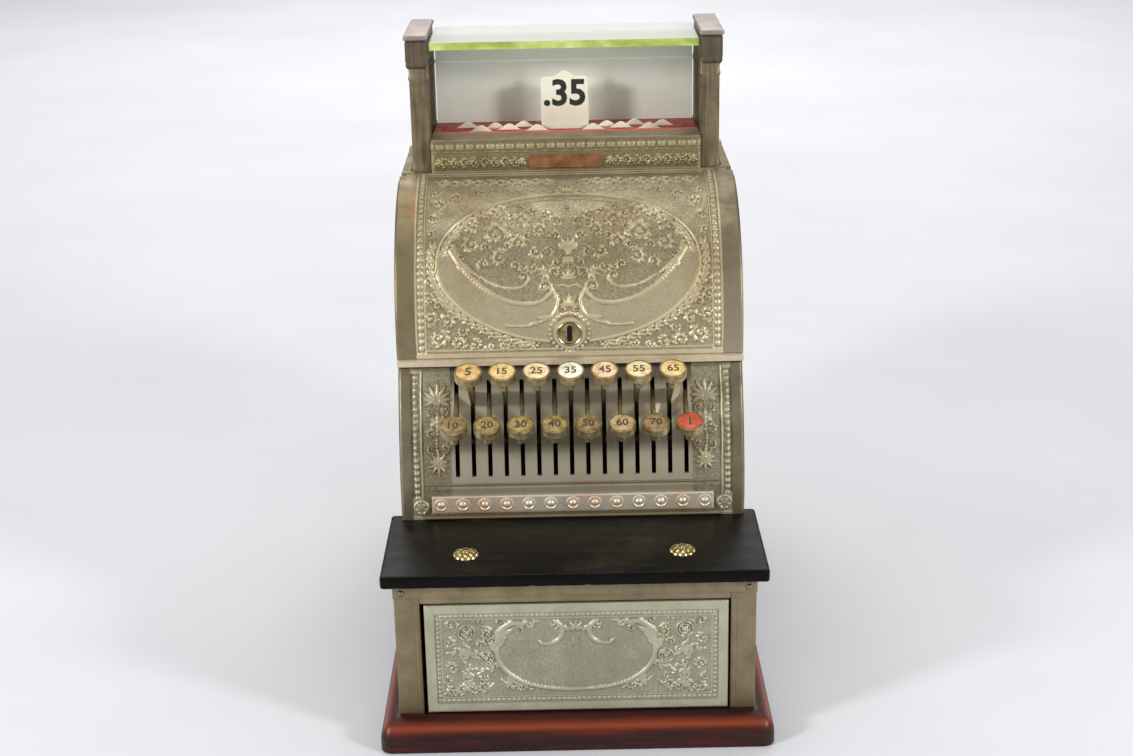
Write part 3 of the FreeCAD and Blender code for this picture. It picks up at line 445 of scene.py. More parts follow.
ink = mottled(
    "ink", (12, 12, 13), 1.5, [(0.3, (10, 10, 12)), (0.8, (34, 33, 33))],
    Roughness=0.6, Specular_IOR_Level=0.2,
)
legend_ink = mottled(
    "legend_ink", (56, 44, 28), 1.2, [(0.3, (34, 26, 16)), (0.7, (84, 68, 44))], Roughness=0.5
)

screen_paint = finish("screen_paint", (244, 248, 236), Roughness=0.5)
screen_tone = ramp(screen_paint, grain(screen_paint, 30), [(0.3, (240, 244, 230)), (0.75, (251, 253, 243))])
screen_tone = blended(screen_paint, stored(screen_paint, "relief"), screen_tone, (236, 240, 226))
paint(screen_paint, "Base Color", screen_tone)
bumped(screen_paint, grain(screen_paint, 1.2), 0.03)
print("finishes", len(bpy.data.materials))

# %% [markdown]
# Old plate glass lets the inside show and mirrors the room at a slant. A full glass shader would need
# many more light bounces. Here the pane is see-through by its slant, and its cut edge has its own green.

# %% Glass


def pane_glass(name, tint, thin, thick):
    """Old plate glass: nearly clear when seen square on; at a slant its own colour fades in, on the top pane
    a painted reflection of the room.
    """
    material = finish(name, tint)
    slant = material.node_tree.nodes.new("ShaderNodeLayerWeight")
    slant.inputs["Blend"].default_value = 0.5
    paint(material, "Alpha", grey(material, slant.outputs["Facing"], [(0.45, thin), (0.66, thick)]))
    paint(material, "Roughness", grey(material, grain(material, 45, detail=6), [(0.3, 0.02), (0.75, 0.07)]))
    return material


glass = pane_glass("window_glass", (140, 152, 140), 0.04, 0.3)
# The top pane's near-white colour at a slant is a painted reflection of the bright room.
top_glass = pane_glass("top_glass", (252, 254, 246), 0.06, 0.68)
glass_edge = finish("glass_edge", (176, 196, 60), Roughness=0.15)
streaky = grain(glass_edge, 12, stretch=(0.5, 1, 1), detail=6)
edge_stops = [(0.3, (128, 150, 58)), (0.46, (168, 188, 92)), (0.58, (198, 214, 136)), (0.72, (244, 250, 224))]
paint(glass_edge, "Base Color", ramp(glass_edge, streaky, edge_stops))
bumped(glass_edge, streaky, 0.1)
print("finishes", len(bpy.data.materials))

# %% [markdown]
# Cheeks, levers, shafts, the bell and the boards of the drawer keep the shapes that the frame gives them.
# They could be drawn again, but a finish is all that they lack, so each gets one here and stays as it is.

# %% Finishes for the frame's own nodes
nodes_with_finish = (
    (nickel["case"], ["case_back"]),
    (nickel["cabinet"], ["deck_plate", "cheek_left", "cheek_right", "rear_cover"]),
    (nickel["plate"], ["keyboard_plate"]),
    (nickel["lip"], ["lid"]),
    (cast_iron, ["key_frame", "mechanism_bridge"]),
    (steel, ["key_shaft", "lid_hinge_pin"]),
    (bell_metal, ["bell"]),
    (lock_brass, ["lock_barrel"]),
    (till_wood, ["drawer_box", "coin_tray"]),
    (red_lining, ["sign_channel"]),
    (screen_paint, ["back_screen"]),
    (key_metal, [f"key_{number:02d}" for number in range(1, 16)]),
    (enamel, ["counter_wheels"] + [f"tablet_{number:02d}" for number in range(1, 16)]),
)
for material, node_names in nodes_with_finish:
    for node_name in node_names:
        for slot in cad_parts[node_name].material_slots:
            slot.material = material
print("nodes finished", sum(len(node_names) for material, node_names in nodes_with_finish))

# %% [markdown]
# Every new piece is a grid of points worked out as whole arrays. A grid can be closed round like a tube
# and capped, or be a panel with a thickness. Pieces of a casting are joined into one mesh.

# %% Grids into shapes


def quads(first, second, third, fourth):
    """Four-sided faces from four arrays of point numbers."""
    return np.stack([first, second, third, fourth], axis=-1).reshape(-1, 4).tolist()


def tube(points):
    """A grid closed round along its columns and capped at its first and last row."""
    rows, columns = points.shape[:2]
    row, column = np.mgrid[0 : rows - 1, 0:columns]
    here = row * columns + column
    right = row * columns + (column + 1) % columns
    faces = quads(here, right, right + columns, here + columns)
    last = (rows - 1) * columns
    faces.append(list(range(columns - 1, -1, -1)))
    faces.append(list(range(last, last + columns)))
    return points.reshape(-1, 3), faces


def hoop(points):
    """A grid closed round both ways, as a ring is."""
    rows, columns = points.shape[:2]
    row, column = np.mgrid[0:rows, 0:columns]
    after = (column + 1) % columns
    here = row * columns
    above = ((row + 1) % rows) * columns
    return points.reshape(-1, 3), quads(here + column, above + column, above + after, here + after)


def closed_sheet(points):
    """A grid whose rim lies at the back: long faces across the back close it."""
    rows, columns = points.shape[:2]
    row, column = np.mgrid[0 : rows - 1, 0 : columns - 1]
    here = row * columns + column
    faces = quads(here, here + 1, here + 1 + columns, here + columns)
    left = np.arange(rows) * columns
    right = left + columns - 1
    faces.append(list(range(columns - 1, -1, -1)) + [int(left[1]), int(right[1])])
    faces.extend(quads(right[1:-2], left[1:-2], left[2:-1], right[2:-1]))
    faces.append([int(right[-2]), int(left[-2])] + list(range(int(left[-1]), int(right[-1]) + 1)))
    return points.reshape(-1, 3), faces


def joined(shapes):
    """Several shapes as one."""
    points = np.vstack([shape[0] for shape in shapes])
    faces = []
    start = 0
    for shape in shapes:
        faces.extend([[index + start for index in face] for face in shape[1]])
        start += len(shape[0])
    return points, faces


def moved(shape, x=0.0, y=0.0, z=0.0):
    """The same shape at another place."""
    return shape[0] + np.array([x, y, z]), shape[1]


def mirrored(shape):
    """The same shape on the other side of the middle plane, with its faces turned round to point outwards."""
    return shape[0] * np.array([-1, 1, 1]), [face[::-1] for face in shape[1]]


def swung(shape, angle, pivot=(0, 0, 0)):
    """A shape turned about the X direction through a pivot, in degrees, from +Y towards +Z."""
    turn = math.radians(angle)
    points = shape[0] - np.array(pivot)
    y = points[:, 1] * math.cos(turn) - points[:, 2] * math.sin(turn)
    z = points[:, 1] * math.sin(turn) + points[:, 2] * math.cos(turn)
    return np.stack([points[:, 0], y, z], axis=-1) + np.array(pivot), shape[1]


print("a tube of 3 by 8 points has", len(tube(np.zeros((3, 8, 3)))[1]), "faces")

# %% [markdown]
# Turned and moulded parts make up most of the rest. Both are a profile of (size, level) rows carried
# round: a circle for knobs and rings, a rounded rectangle for posts, boards and caps. Primitives with
# bevels would look alike, but the profile gives each edge its own softness.

# %% Profiles into solids


def stack(half_x, half_y, corner, rows, corner_steps=7, side_steps=1):
    """A solid with rounded rectangles for cross-sections. Each row is (how far it is drawn in, its level)."""
    inset, level = np.array(rows, float).T[:, :, None]
    radius = np.maximum(corner - inset, 0.05)
    middle_x = half_x - inset - radius
    middle_y = half_y - inset - radius
    quarter = np.linspace(0, math.pi / 2, corner_steps)[None, :]
    runs = []
    for turn, (sign_x, sign_y) in enumerate(((1, 1), (-1, 1), (-1, -1), (1, -1))):
        angle = quarter + turn * math.pi / 2
        x = sign_x * middle_x + radius * np.cos(angle)
        y = sign_y * middle_y + radius * np.sin(angle)
        runs.append(np.stack([x, y, np.broadcast_to(level, x.shape)], axis=-1))
    columns = []
    share = np.linspace(0, 1, side_steps + 1)[1:-1][None, :, None]
    for turn, run in enumerate(runs):
        after = runs[(turn + 1) % 4]
        columns.append(run)
        columns.append(run[:, -1:] * (1 - share) + after[:, :1] * share)
    return tube(np.concatenate(columns, axis=1))


def turned(rows, count):
    """A round solid of count steps: each row is (radius, level)."""
    radius, level = np.array(rows, float).T[:, :, None]
    angle = np.linspace(0, 2 * math.pi, count, endpoint=False)[None, :]
    x = radius * np.cos(angle)
    return tube(np.stack([x, radius * np.sin(angle), np.broadcast_to(level, x.shape)], axis=-1))


def slab_block(x, y, z, corner=0.8, soft=0.6):
    """A block from low to high along each axis, with soft edges."""
    half_x = (x[1] - x[0]) / 2
    half_y = (y[1] - y[0]) / 2
    rows = [(soft, z[0]), (soft * 0.3, z[0] + soft * 0.3), (0, z[0] + soft)]
    rows += [(0, z[1] - soft), (soft * 0.3, z[1] - soft * 0.3), (soft, z[1])]
    shape = stack(half_x, half_y, min(corner, half_x * 0.9, half_y * 0.9), rows, corner_steps=5)
    return moved(shape, (x[0] + x[1]) / 2, (y[0] + y[1]) / 2)


def piece(name, shape, material, body, stands_for=(), sharp=38, relief=None):
    """Makes a mesh object from a shape in millimetres, with its finish, its body and what it stands for."""
    mesh = bpy.data.meshes.new(name)
    mesh.from_pydata((shape[0] * MM).tolist(), [], shape[1])
    mesh.update()
    mesh.shade_smooth()
    mesh.set_sharp_from_angle(angle=math.radians(sharp))
    mesh.materials.append(material)
    if relief is not None:
        kept = mesh.attributes.new("relief", "FLOAT", "POINT")
        kept.data.foreach_set("value", np.asarray(relief, np.float32).ravel())
    thing = bpy.data.objects.new(name, mesh)
    bpy.context.scene.collection.objects.link(thing)
    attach(thing, body)
    if stands_for:
        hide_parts(*stands_for)
    return thing


print("a block has", len(slab_block((0, 10), (0, 10), (0, 10))[1]), "faces")

# %% [markdown]
# The plinth is a mahogany board with a rounded, polished edge. A bevel on a box would do, but a profile
# carried round a rounded rectangle also softens the corners, as on the real board.
# The orange band near the upper edge is partly rubbed wear and partly a painted sheen; it is stored as a
# number for each point.

# %% Plinth
PLINTH_HALF_WIDTH = 130
PLINTH_HALF_DEPTH = 203
SHEEN_AND_WEAR_LEVEL = 17.0
RUNNER_X = 81


def quarter_round(radius, start_level, steps=8):
    """Rows that follow a quarter circle inwards and upwards."""
    angle = np.linspace(0, math.pi / 2, steps)
    return list(zip(radius * (1 - np.cos(angle)), start_level + radius * np.sin(angle)))


plinth_rows = [(1.2, 0.0), (0.3, 0.5), (0.0, 1.5)] + quarter_round(14, 8) + [(20, 22)]
plinth_shape = stack(PLINTH_HALF_WIDTH, PLINTH_HALF_DEPTH, 8, plinth_rows, side_steps=24)
# An orange band round the board near its upper edge: partly rubbed wear, partly a painted sheen.
sheen_and_wear_band = np.exp(-(((plinth_shape[0][:, 2] - SHEEN_AND_WEAR_LEVEL) / 2.2) ** 2)) * 0.75
runner = stack(6, 179, 0.8, [(0.4, 21.9), (0, 22.3), (0, 25.3), (0.4, 25.7)])
plinth_all = joined([plinth_shape] + [moved(runner, x) for x in (-RUNNER_X, RUNNER_X)])
plinth_sheen_and_wear = np.concatenate([sheen_and_wear_band, np.zeros(len(plinth_all[0]) - len(sheen_and_wear_band))])
piece("plinth", plinth_all, plinth_wood, "root", ("base_board",), relief=plinth_sheen_and_wear)
print("plinth points", len(plinth_all[0]))

# %% [markdown]
# The drawer case is cast in flat plates: a post at each front corner, a side behind it and a plain band
# across the front that is pinned with two small rivets. A bevelled cube would do for each. Edges of old
# castings are soft, so every block here is a profile with rounded edges.

# %% Drawer case
CASE_FOOT = 22
CASE_TOP = 117.5
RIVET_PLACE = (112.6, -189.9, 110.4)
case_side = joined(
    [
        slab_block((-117.25, -113.5), (-176, 189), (CASE_FOOT, CASE_TOP)),
        slab_block((-117.5, -101), (-189, -175), (CASE_FOOT, CASE_TOP), 1.0),
        slab_block((-104.5, -102.2), (-189.6, -180), (24, 103), 0.6, 0.4),
    ]
)
for side_name, shape in (("left", case_side), ("right", mirrored(case_side))):
    piece(f"case_{side_name}", shape, nickel["case"], "root", (f"case_{side_name}_side",))
case_band = [
    slab_block((-118, 118), (-190, -178), (106.5, CASE_TOP), 1.0),
    slab_block((-100.9, 100.9), (-189, -178), (102.2, 108), 0.6),
    slab_block((-100.6, 100.6), (-188, -180), (102, 117), 0.6),
]
piece("case_band", joined(case_band), nickel["case"], "root", ("case_front_rail",))
rivet = swung(turned([(2.3, 0), (2.2, 0.6), (1.6, 1.2), (0.8, 1.5), (0.05, 1.6)], 24), 90)
rivets = joined([moved(rivet, side * RIVET_PLACE[0], *RIVET_PLACE[1:]) for side in (-1, 1)])
piece("rail_rivets", rivets, nickel["band"], "root")
print("points of a case side", len(case_side[0]))

# %% [markdown]
# The shelf is a slab of dark stone. Its long edges are slightly worn and chipped, so the outline is
# carried round with many points and each point of the upper and lower edge is pushed in by a noise of sines.

# %% Shelf slab
SLAB_HALF_WIDTH = 125
SLAB_HALF_DEPTH = 49.5
SLAB_MIDDLE_Y = -148.5
SLAB_MIDDLE_LEVEL = 121.7
SLAB_TOP = 126.0
slab_rows = [(0.8, 117.5), (0.2, 118.0), (0, 119), (0, 124.4), (0.3, 125.3), (1.0, 125.9), (2.2, SLAB_TOP)]
slab_points, slab_faces = stack(SLAB_HALF_WIDTH, SLAB_HALF_DEPTH, 2.5, slab_rows, side_steps=90)
slab_x, slab_y, slab_z = slab_points.T
run = slab_x * 0.9 + slab_y * 1.3
chips = np.sin(run * 0.31) * np.sin(run * 0.113 + 1.7) * np.sin(run * 0.77 + 0.4)
edge = np.clip(np.abs(slab_z - SLAB_MIDDLE_LEVEL) - 2.6, 0, 1)
pull = np.clip(chips - 0.25, 0, 1) * edge * 1.6
slab_y -= np.sign(slab_y) * pull * (np.abs(slab_y) > SLAB_HALF_DEPTH - 3.5)
slab_x -= np.sign(slab_x) * pull * (np.abs(slab_x) > SLAB_HALF_WIDTH - 4)
slab_front = np.clip((-slab_y - 48.2) * 1.5, 0, 1)
slab_shape = moved((slab_points, slab_faces), y=SLAB_MIDDLE_Y)
piece("slate_shelf", slab_shape, slate, "root", ("shelf_slab",), relief=slab_front)
print("deepest chip", round(float(pull.max()), 2), "mm")

# %% [markdown]
# Two brass rosettes screw the slab down. Each is a dome of eight petals round a boss. They could be
# modelled petal by petal, but one turned grid whose radius and height swell with the angle is the same thing.

# %% Rosettes
ROSETTE_RADIUS = 8.8
ROSETTE_HEIGHT = 4.3
ROSETTE_X = 71
ROSETTE_Y = -166
angle = np.linspace(0, 2 * math.pi, 96, endpoint=False)[None, :]
ring = np.linspace(1, 0.01, 22)[:, None]
petal = np.abs(np.cos(4 * angle)) ** 0.5
reach = ROSETTE_RADIUS * ring * (1 - 0.1 * (1 - petal) * ring)
dome = ROSETTE_HEIGHT * np.sqrt(np.maximum(1 - ring**2, 0)) * (1 - 0.25 * (1 - petal) * (ring > 0.36))
boss = 1.0 * np.sqrt(np.maximum(1 - (ring / 0.34) ** 2, 0))
groove = 0.5 * np.exp(-(((ring - 0.38) / 0.05) ** 2))
rise = (dome - groove) * 0.86 + boss * 0.8
rosette = tube(np.stack([reach * np.cos(angle), reach * np.sin(angle), rise], axis=-1))
rosettes = joined([moved(rosette, x, ROSETTE_Y, SLAB_TOP) for x in (-ROSETTE_X, ROSETTE_X)])
piece("rosettes", rosettes, brass, "root", ("slab_rosettes",), sharp=50)
print("rosette height", round(float(rise.max()), 2), "mm")

# %% [markdown]
# All of the cast ornament is drawn the same way: a height is worked out for every point of a grid that
# lies on the casting. A motif is a path with a width at each of its points, and its height falls off
# like a circle on either side of the path. The highest motif wins. Carving by sculpting would be slower
# and couldn't be mirrored exactly.

# %% Motifs of the ornament


def eased(points, rounds=3):
    """A smooth path near a few points: each round cuts every corner at a quarter and at three quarters."""
    path = np.asarray(points, float)
    for _ in range(rounds):
        first, second = path[:-1], path[1:]
        cut = np.stack([0.75 * first + 0.25 * second, 0.25 * first + 0.75 * second], axis=1)
        path = np.vstack([path[:1], cut.reshape(-1, 2), path[-1:]])
    return path


def stem(points, width, height, end_width, rounds=3):
    """A ridge along a smooth path, whose half width runs from width to end_width."""
    path = eased(points, rounds)
    return [(path, np.linspace(width, end_width, len(path)), height)]


def curl(u, v, radius, start, turns, width, height):
    """A scroll: a spiral that winds inwards from its start angle in degrees, with a ball at its eye."""
    share = np.linspace(0, 1, 40)
    angle = math.radians(start) + 2 * math.pi * turns * share
    reach = radius * (1 - 0.85 * share)
    path = np.stack([u + reach * np.cos(angle), v + reach * np.sin(angle)], axis=-1)
    eye = (np.array([[u, v]]), np.array([width * 1.5]), height * 1.15)
    return [(path, width * (1 - 0.45 * share), height), eye]


def leaf(u, v, angle, length, width, height, bend=0.0):
    """A pointed leaf from its foot: its half width follows half a sine wave, and it may bend to one side."""
    share = np.linspace(0, 1, 12)
    turn = math.radians(angle) + bend * share
    step = length / 11
    path = np.stack([u + np.cumsum(np.cos(turn)) * step, v + np.cumsum(np.sin(turn)) * step], axis=-1)
    return [(path, 0.12 + width * np.sin(math.pi * share**0.75) ** 0.8, height)]


print("points of a curl", len(curl(0, 0, 5, 0, 1, 1, 1)[0][0]))

# %% [markdown]
# Leaves and curls make the larger motifs: flowers, palmettes, vines and leafy scrolls. They could be
# drawn one by one, but a rule for how leaves leave their stem keeps them alike, as one carver's hand would.

# %% Flowers, vines and leafy scrolls


def blossom(u, v, radius, petals, height):
    """A flower: round petals about a button, each petal a short fat leaf."""
    motifs = []
    for number in range(petals):
        motifs += leaf(u, v, 360 * number / petals + 90, radius, radius * 0.42, height * 0.8)
    return motifs + [(np.array([[u, v]]), np.array([radius * 0.3]), height * 1.2)]


def rose(u, v, radius, height):
    """A round flower: a small spiral heart and two rings of curved petals about it."""
    motifs = curl(u, v, radius * 0.34, 40, 1.2, 0.8, height)
    for share, count, shift in ((0.62, 5, 0), (0.95, 7, 20)):
        for number in range(count):
            turn = np.radians(360 * number / count + shift + np.array([-24, -8, 8, 24]))
            petal = np.array([u, v]) + radius * share * np.stack([np.cos(turn), np.sin(turn)], axis=-1)
            motifs += stem(petal, 0.85, height * 0.85, 0.5, rounds=1)
    return motifs


def spray(u, v, angle, length, leaves, spread, height):
    """A palmette: leaves that fan out from one foot, the middle one the longest."""
    motifs = []
    for number in range(leaves):
        off = (number - (leaves - 1) / 2) / max((leaves - 1) / 2, 1)
        reach = length * (1 - 0.35 * abs(off))
        motifs += leaf(u, v, angle + off * spread, reach, length * 0.12, height, off * 0.6)
    return motifs


def vine(points, width, height, leaves, leaf_length):
    """A stem with leaves on alternate sides, smaller towards its tip."""
    motifs = stem(points, width, height, width * 0.5)
    path = motifs[0][0]
    for number in range(leaves):
        share = (number + 0.7) / (leaves + 0.4)
        index = min(int(share * (len(path) - 1)), len(path) - 2)
        along = path[index + 1] - path[index]
        angle = math.degrees(math.atan2(along[1], along[0]))
        side = 1 if number % 2 else -1
        length = leaf_length * (1 - 0.4 * share)
        motifs += leaf(*path[index], angle + side * 48, length, length * 0.24, height * 0.9, -side * 0.9)
    return motifs


def acanthus(u, v, radius, start, turns, height, lobes=7):
    """A leafy scroll: a spiral whose outer turn grows lobes that lean the way it winds."""
    motifs = curl(u, v, radius * 0.66, start, turns, radius * 0.13, height)
    hand = 1 if turns > 0 else -1
    for number in range(lobes):
        share = 0.62 * number / lobes
        angle = start + 360 * turns * share
        reach = radius * 0.66 * (1 - 0.85 * share)
        foot_u = u + reach * math.cos(math.radians(angle))
        foot_v = v + reach * math.sin(math.radians(angle))
        length = radius * (0.5 - 0.35 * share)
        motifs += leaf(foot_u, foot_v, angle + hand * 52, length, length * 0.3, height * 0.85, hand * 0.9)
    return motifs


def scrolled_stem(points, radius, height):
    """A running scroll: a waving stem through the points, with a leafy scroll in every bend."""
    path = np.asarray(points, float)
    motifs = stem(points, radius * 0.12, height * 0.9, radius * 0.12)
    for before, here, after in zip(path, path[1:], path[2:]):
        inward = (before + after) / 2 - here
        start = math.degrees(math.atan2(-inward[1], -inward[0]))
        along = after - before
        hand = -1 if along[0] * inward[1] - along[1] * inward[0] < 0 else 1
        motifs += acanthus(*(here + inward * 0.62), radius, start, hand * 1.25, height)
    return motifs


print("parts of a leafy scroll", len(acanthus(0, 0, 5, 0, 1, 1)))

# %% [markdown]
# The motifs become a height for each point of a grid, and the grid becomes a closed sheet on the casting.
# A displacement on a picture would need a fine mesh everywhere. Here the height is exact at each point,
# and it is kept on the mesh for the finish to read.

# %% Heights and panels
GROUND = 0.25


def carved(u, v, motifs):
    """The height of the highest motif: height * sqrt(1 - (distance / half width) squared)."""
    result = np.zeros_like(u)
    for path, width, height in motifs:
        reach = width.max()
        near = (u > path[:, 0].min() - reach) & (u < path[:, 0].max() + reach)
        near &= (v > path[:, 1].min() - reach) & (v < path[:, 1].max() + reach)
        if not near.any():
            continue
        away_u = u[near][:, None] - path[None, :, 0]
        away_v = v[near][:, None] - path[None, :, 1]
        ratio = ((away_u**2 + away_v**2) / width[None, :] ** 2).min(axis=1)
        result[near] = np.maximum(result[near], height * np.sqrt(np.maximum(1 - ratio, 0)))
    return result


def ridge(distance, width, height):
    """A rounded line where the distance is 0."""
    return height * np.sqrt(np.maximum(1 - (distance / width) ** 2, 0))


def pearls(distance, along, pitch, radius, height):
    """A row of beads: along runs down the row, distance across it."""
    beat = (along % pitch) - pitch / 2
    return height * np.sqrt(np.maximum(1 - (distance**2 + beat**2) / radius**2, 0))


def rope(distance, along, pitch, width, height):
    """A twisted cord: a ridge whose height beats along a slanted line."""
    twist = 0.72 + 0.28 * np.cos(2 * math.pi * (along + distance * 1.2) / pitch)
    return ridge(distance, width, height) * twist


def stipple(u, v, height):
    """The punched ground: two crossed waves whose beat is broken by a slower third."""
    wave = np.sin(u * 4.1 + np.sin(v * 1.3)) * np.sin(v * 4.3 + np.sin(u * 1.7))
    return height * wave * (0.6 + 0.4 * np.sin(u * 0.9 + v * 0.7))


def highest(*heights):
    """The highest of several heights at each point."""
    return np.maximum.reduce(heights)


def rolled(level, start, curve):
    """A plain band at a level, which drops by curve x distance squared past its start."""
    return lambda u, v: level - np.clip(np.abs(u) - start, 0, 2) ** 2 * curve


def flat_face(y, facing=-1):
    """A vertical plane that faces the front, or the back where facing is 1."""

    def face(u, v):
        points = np.stack([-facing * u, np.full_like(u, y), v], axis=-1)
        return points, np.broadcast_to([0.0, float(facing), 0.0], points.shape)

    return face


def panel(face, u, v, height, sink):
    """A closed sheet on a face. height(u, v) is a whole array, and the rim drops to sink below the face."""
    across, up = np.meshgrid(np.concatenate([[u[0]], u, [u[-1]]]), np.concatenate([[v[0]], v, [v[-1]]]))
    rise = height(across, up)
    shown = np.clip((rise - GROUND) / 0.7, 0, 1)
    rise[0, :] = rise[-1, :] = -sink
    rise[:, 0] = rise[:, -1] = -sink
    points, outward = face(across, up)
    return closed_sheet(points + outward * rise[..., None]), shown.ravel()


def cast_panel(name, face, u, v, height, sink, material, body, stands_for=()):
    """A panel made a piece. Gives back the number of its faces."""
    shape, shown = panel(face, u, v, height, sink)
    piece(name, shape, material, body, stands_for, relief=shown)
    return len(shape[1])


print("ground of the ornament", GROUND, "mm")

# %% [markdown]
# The drawer front is a bright casting: a plain rim, a row of beads inside it, and an open cartouche
# with leaves, flowers and scrolls on both sides. The middle of the cartouche is plain.
# One half is drawn, and the other half is its mirror image.

# %% Foliage of the drawer front
cartouche = (
    stem([(0, 38.5), (16, 39), (34, 43), (47, 52), (52, 63), (51, 74), (46, 81)], 1.8, 1.5, 1.8)
    + stem([(51, 74), (49, 83), (42, 88), (34, 87), (29, 90)], 2.6, 1.8, 1.6)
    + curl(29, 87, 3.6, 80, -1.1, 1.1, 1.6)
    + acanthus(57.5, 80, 6.0, 200, 1.3, 1.6)
    + acanthus(47.5, 79.5, 4.6, 20, -1.2, 1.5)
    + acanthus(49, 88, 4.2, 150, -1.1, 1.4)
    + vine([(53, 66), (51, 75), (46, 83), (37, 88), (28, 90)], 0.8, 1.5, 8, 9.0)
    + acanthus(37, 82.5, 4.0, 60, 1.2, 1.3)
    + leaf(58, 74, 215, 8, 1.3, 1.3, -0.7)
    + leaf(62, 86, 190, 8, 1.2, 1.2, 0.5)
)
crest = (
    stem([(22, 72), (14, 72.5), (9, 77), (9, 84), (13, 88)], 1.6, 1.4, 1.8)
    + curl(14.5, 85.5, 3.6, 110, 1.1, 0.9, 1.3)
    + leaf(10, 80, 150, 5, 1.1, 1.0, -0.5)
    + leaf(21, 72, 20, 5, 1.0, 1.0, 0.6)
    + spray(0, 82, 90, 9.5, 5, 62, 1.6)
    + leaf(4, 80, 60, 8, 1.5, 1.4, -0.6)
    + stem([(1.4, 82), (2.2, 76), (1.8, 70)], 0.5, 0.7, 0.3)
)
side_foliage = (
    scrolled_stem([(50, 47), (43, 40), (36, 44), (30, 38.5)], 5.0, 1.3)
    + spray(46, 45, 190, 9, 5, 60, 1.2)
    + scrolled_stem([(54, 44), (60, 38), (67, 43), (74, 37), (82, 41), (87, 36)], 5.4, 1.3)
    + vine([(71, 38), (71.5, 50), (72.5, 62), (71, 74), (71, 80)], 0.7, 1.1, 10, 6.5)
    + rose(71, 81, 5.6, 1.6)
    + rose(59, 62, 4.8, 1.5)
    + rose(71, 48, 3.8, 1.3)
    + rose(73, 65, 3.2, 1.3)
    + vine([(51, 60), (56, 54), (64, 52), (70, 56)], 0.6, 1.0, 8, 5.5)
    + vine([(64, 62), (68, 67), (74, 70), (82, 66)], 0.6, 1.0, 8, 5.5)
    + acanthus(81, 87, 6.0, 200, -1.3, 1.3)
    + acanthus(63, 89, 4.6, -10, 1.2, 1.2)
    + acanthus(83, 74, 5.2, 100, 1.3, 1.2)
    + acanthus(82, 56, 5.6, 260, -1.3, 1.3)
    + acanthus(62, 72, 4.4, 180, -1.2, 1.2)
    + acanthus(85, 46, 4.0, 90, 1.2, 1.1)
    + acanthus(60, 48, 4.2, 30, -1.2, 1.1)
)
drawer_motifs = cartouche + crest + side_foliage
print("drawer motifs", len(drawer_motifs))

# %% [markdown]
# The grid of the drawer front is fine enough for its smallest leaves, about 0.4 mm from point to point.
# The real front stands a little to the right in its opening, so its two ends aren't alike.

# %% Drawer front
DRAWER_Y = -188.6
DRAWER_LEFT = -98.3
DRAWER_RIGHT = 99.4
DRAWER_FOOT = 23
DRAWER_TOP = 101.0
DRAWER_MIDDLE = 62.1
DRAWER_HALF_HEIGHT = 39.1
DRAWER_RIM = 1.15


def drawer_relief(u, v):
    """Rim, beads, fillet and foliage of the drawer front, mirrored about the middle."""
    across = np.maximum(u - DRAWER_RIGHT, DRAWER_LEFT - u)
    upward = np.abs(v - DRAWER_MIDDLE) - DRAWER_HALF_HEIGHT
    border = np.maximum(across, upward)
    along = np.where(across > upward, v, u)
    height = np.where(border > -6.4, DRAWER_RIM, GROUND + stipple(u, v, 0.06))
    return highest(
        np.where(border > -1.2, DRAWER_RIM - (border + 1.2) ** 2 * 0.5, height),
        GROUND + pearls(border + 8.4, along, 3.3, 1.2, 0.65),
        GROUND + ridge(border + 10.6, 0.6, 0.6),
        GROUND + carved(np.abs(u), v, drawer_motifs) * (border < -11.2),
    )


drawer_u = np.linspace(DRAWER_LEFT, DRAWER_RIGHT, 470)
drawer_v = np.linspace(DRAWER_FOOT, DRAWER_TOP, 188)
drawer_faces = cast_panel(
    "drawer_face", flat_face(DRAWER_Y), drawer_u, drawer_v, drawer_relief, 4.6,
    nickel["drawer"], "drawer", ("drawer_front",),
)
print("drawer front faces", drawer_faces)

# %% [markdown]
# The lid carries the richest ornament: an oval between two columns of beads, with scrolls inside it,
# foliage in the lower corners and a frieze along the top. The grid lies on the lid's own curve: a short
# upright skirt and then a quarter circle about the point that the frame's lid is drawn from.

# %% The lid's curve and oval
SKIRT = 11.0
LID_RADIUS = 94.0
LID_MIDDLE_Y = 8
LID_MIDDLE_LEVEL = 246
OVAL_MIDDLE = 65.0
OVAL_HALF_WIDTH = 89.0
OVAL_HALF_HEIGHT = 55.0


def lid_face(u, v):
    """A point of the lid by its distance across and its distance up along the curve."""
    angle = np.maximum(v - SKIRT, 0) / LID_RADIUS
    y = LID_MIDDLE_Y - LID_RADIUS * np.cos(angle)
    z = LID_MIDDLE_LEVEL + LID_RADIUS * np.sin(angle) - np.maximum(SKIRT - v, 0)
    outward = np.stack([np.zeros_like(u), -np.cos(angle), np.sin(angle)], axis=-1)
    return np.stack([u, y, z], axis=-1), outward


def oval(start, end, out, count):
    """Points along a part of the big oval between two angles in degrees, a distance outside it."""
    turn = np.radians(np.linspace(start, end, count))
    u = (OVAL_HALF_WIDTH + out) * np.cos(turn)
    return np.stack([u, OVAL_MIDDLE + (OVAL_HALF_HEIGHT + out) * np.sin(turn)], axis=-1)


wreath = []
for start, end, out, count, leaves in (
    (-74, 10, 2.4, 19, ((30, 7.0, 1.25, 1.4, 1.0), (100, 5.6, 1.1, 1.1, -0.9), (-20, 4.6, 0.9, 1.2, 0.6))),
    (6, 56, -3.0, 12, ((140, 6.2, 1.1, 1.3, -0.9), (190, 5.0, 0.9, 1.1, -0.6), (80, 4.4, 0.9, 1.1, 0.7))),
):
    for number, (u, v) in enumerate(oval(start, end, out, count)):
        lean = start + (end - start) * number / (count - 1)
        for turn, *shape in leaves:
            wreath += leaf(u, v, lean + turn, *shape)
print("leaves of the wreath", len(wreath))

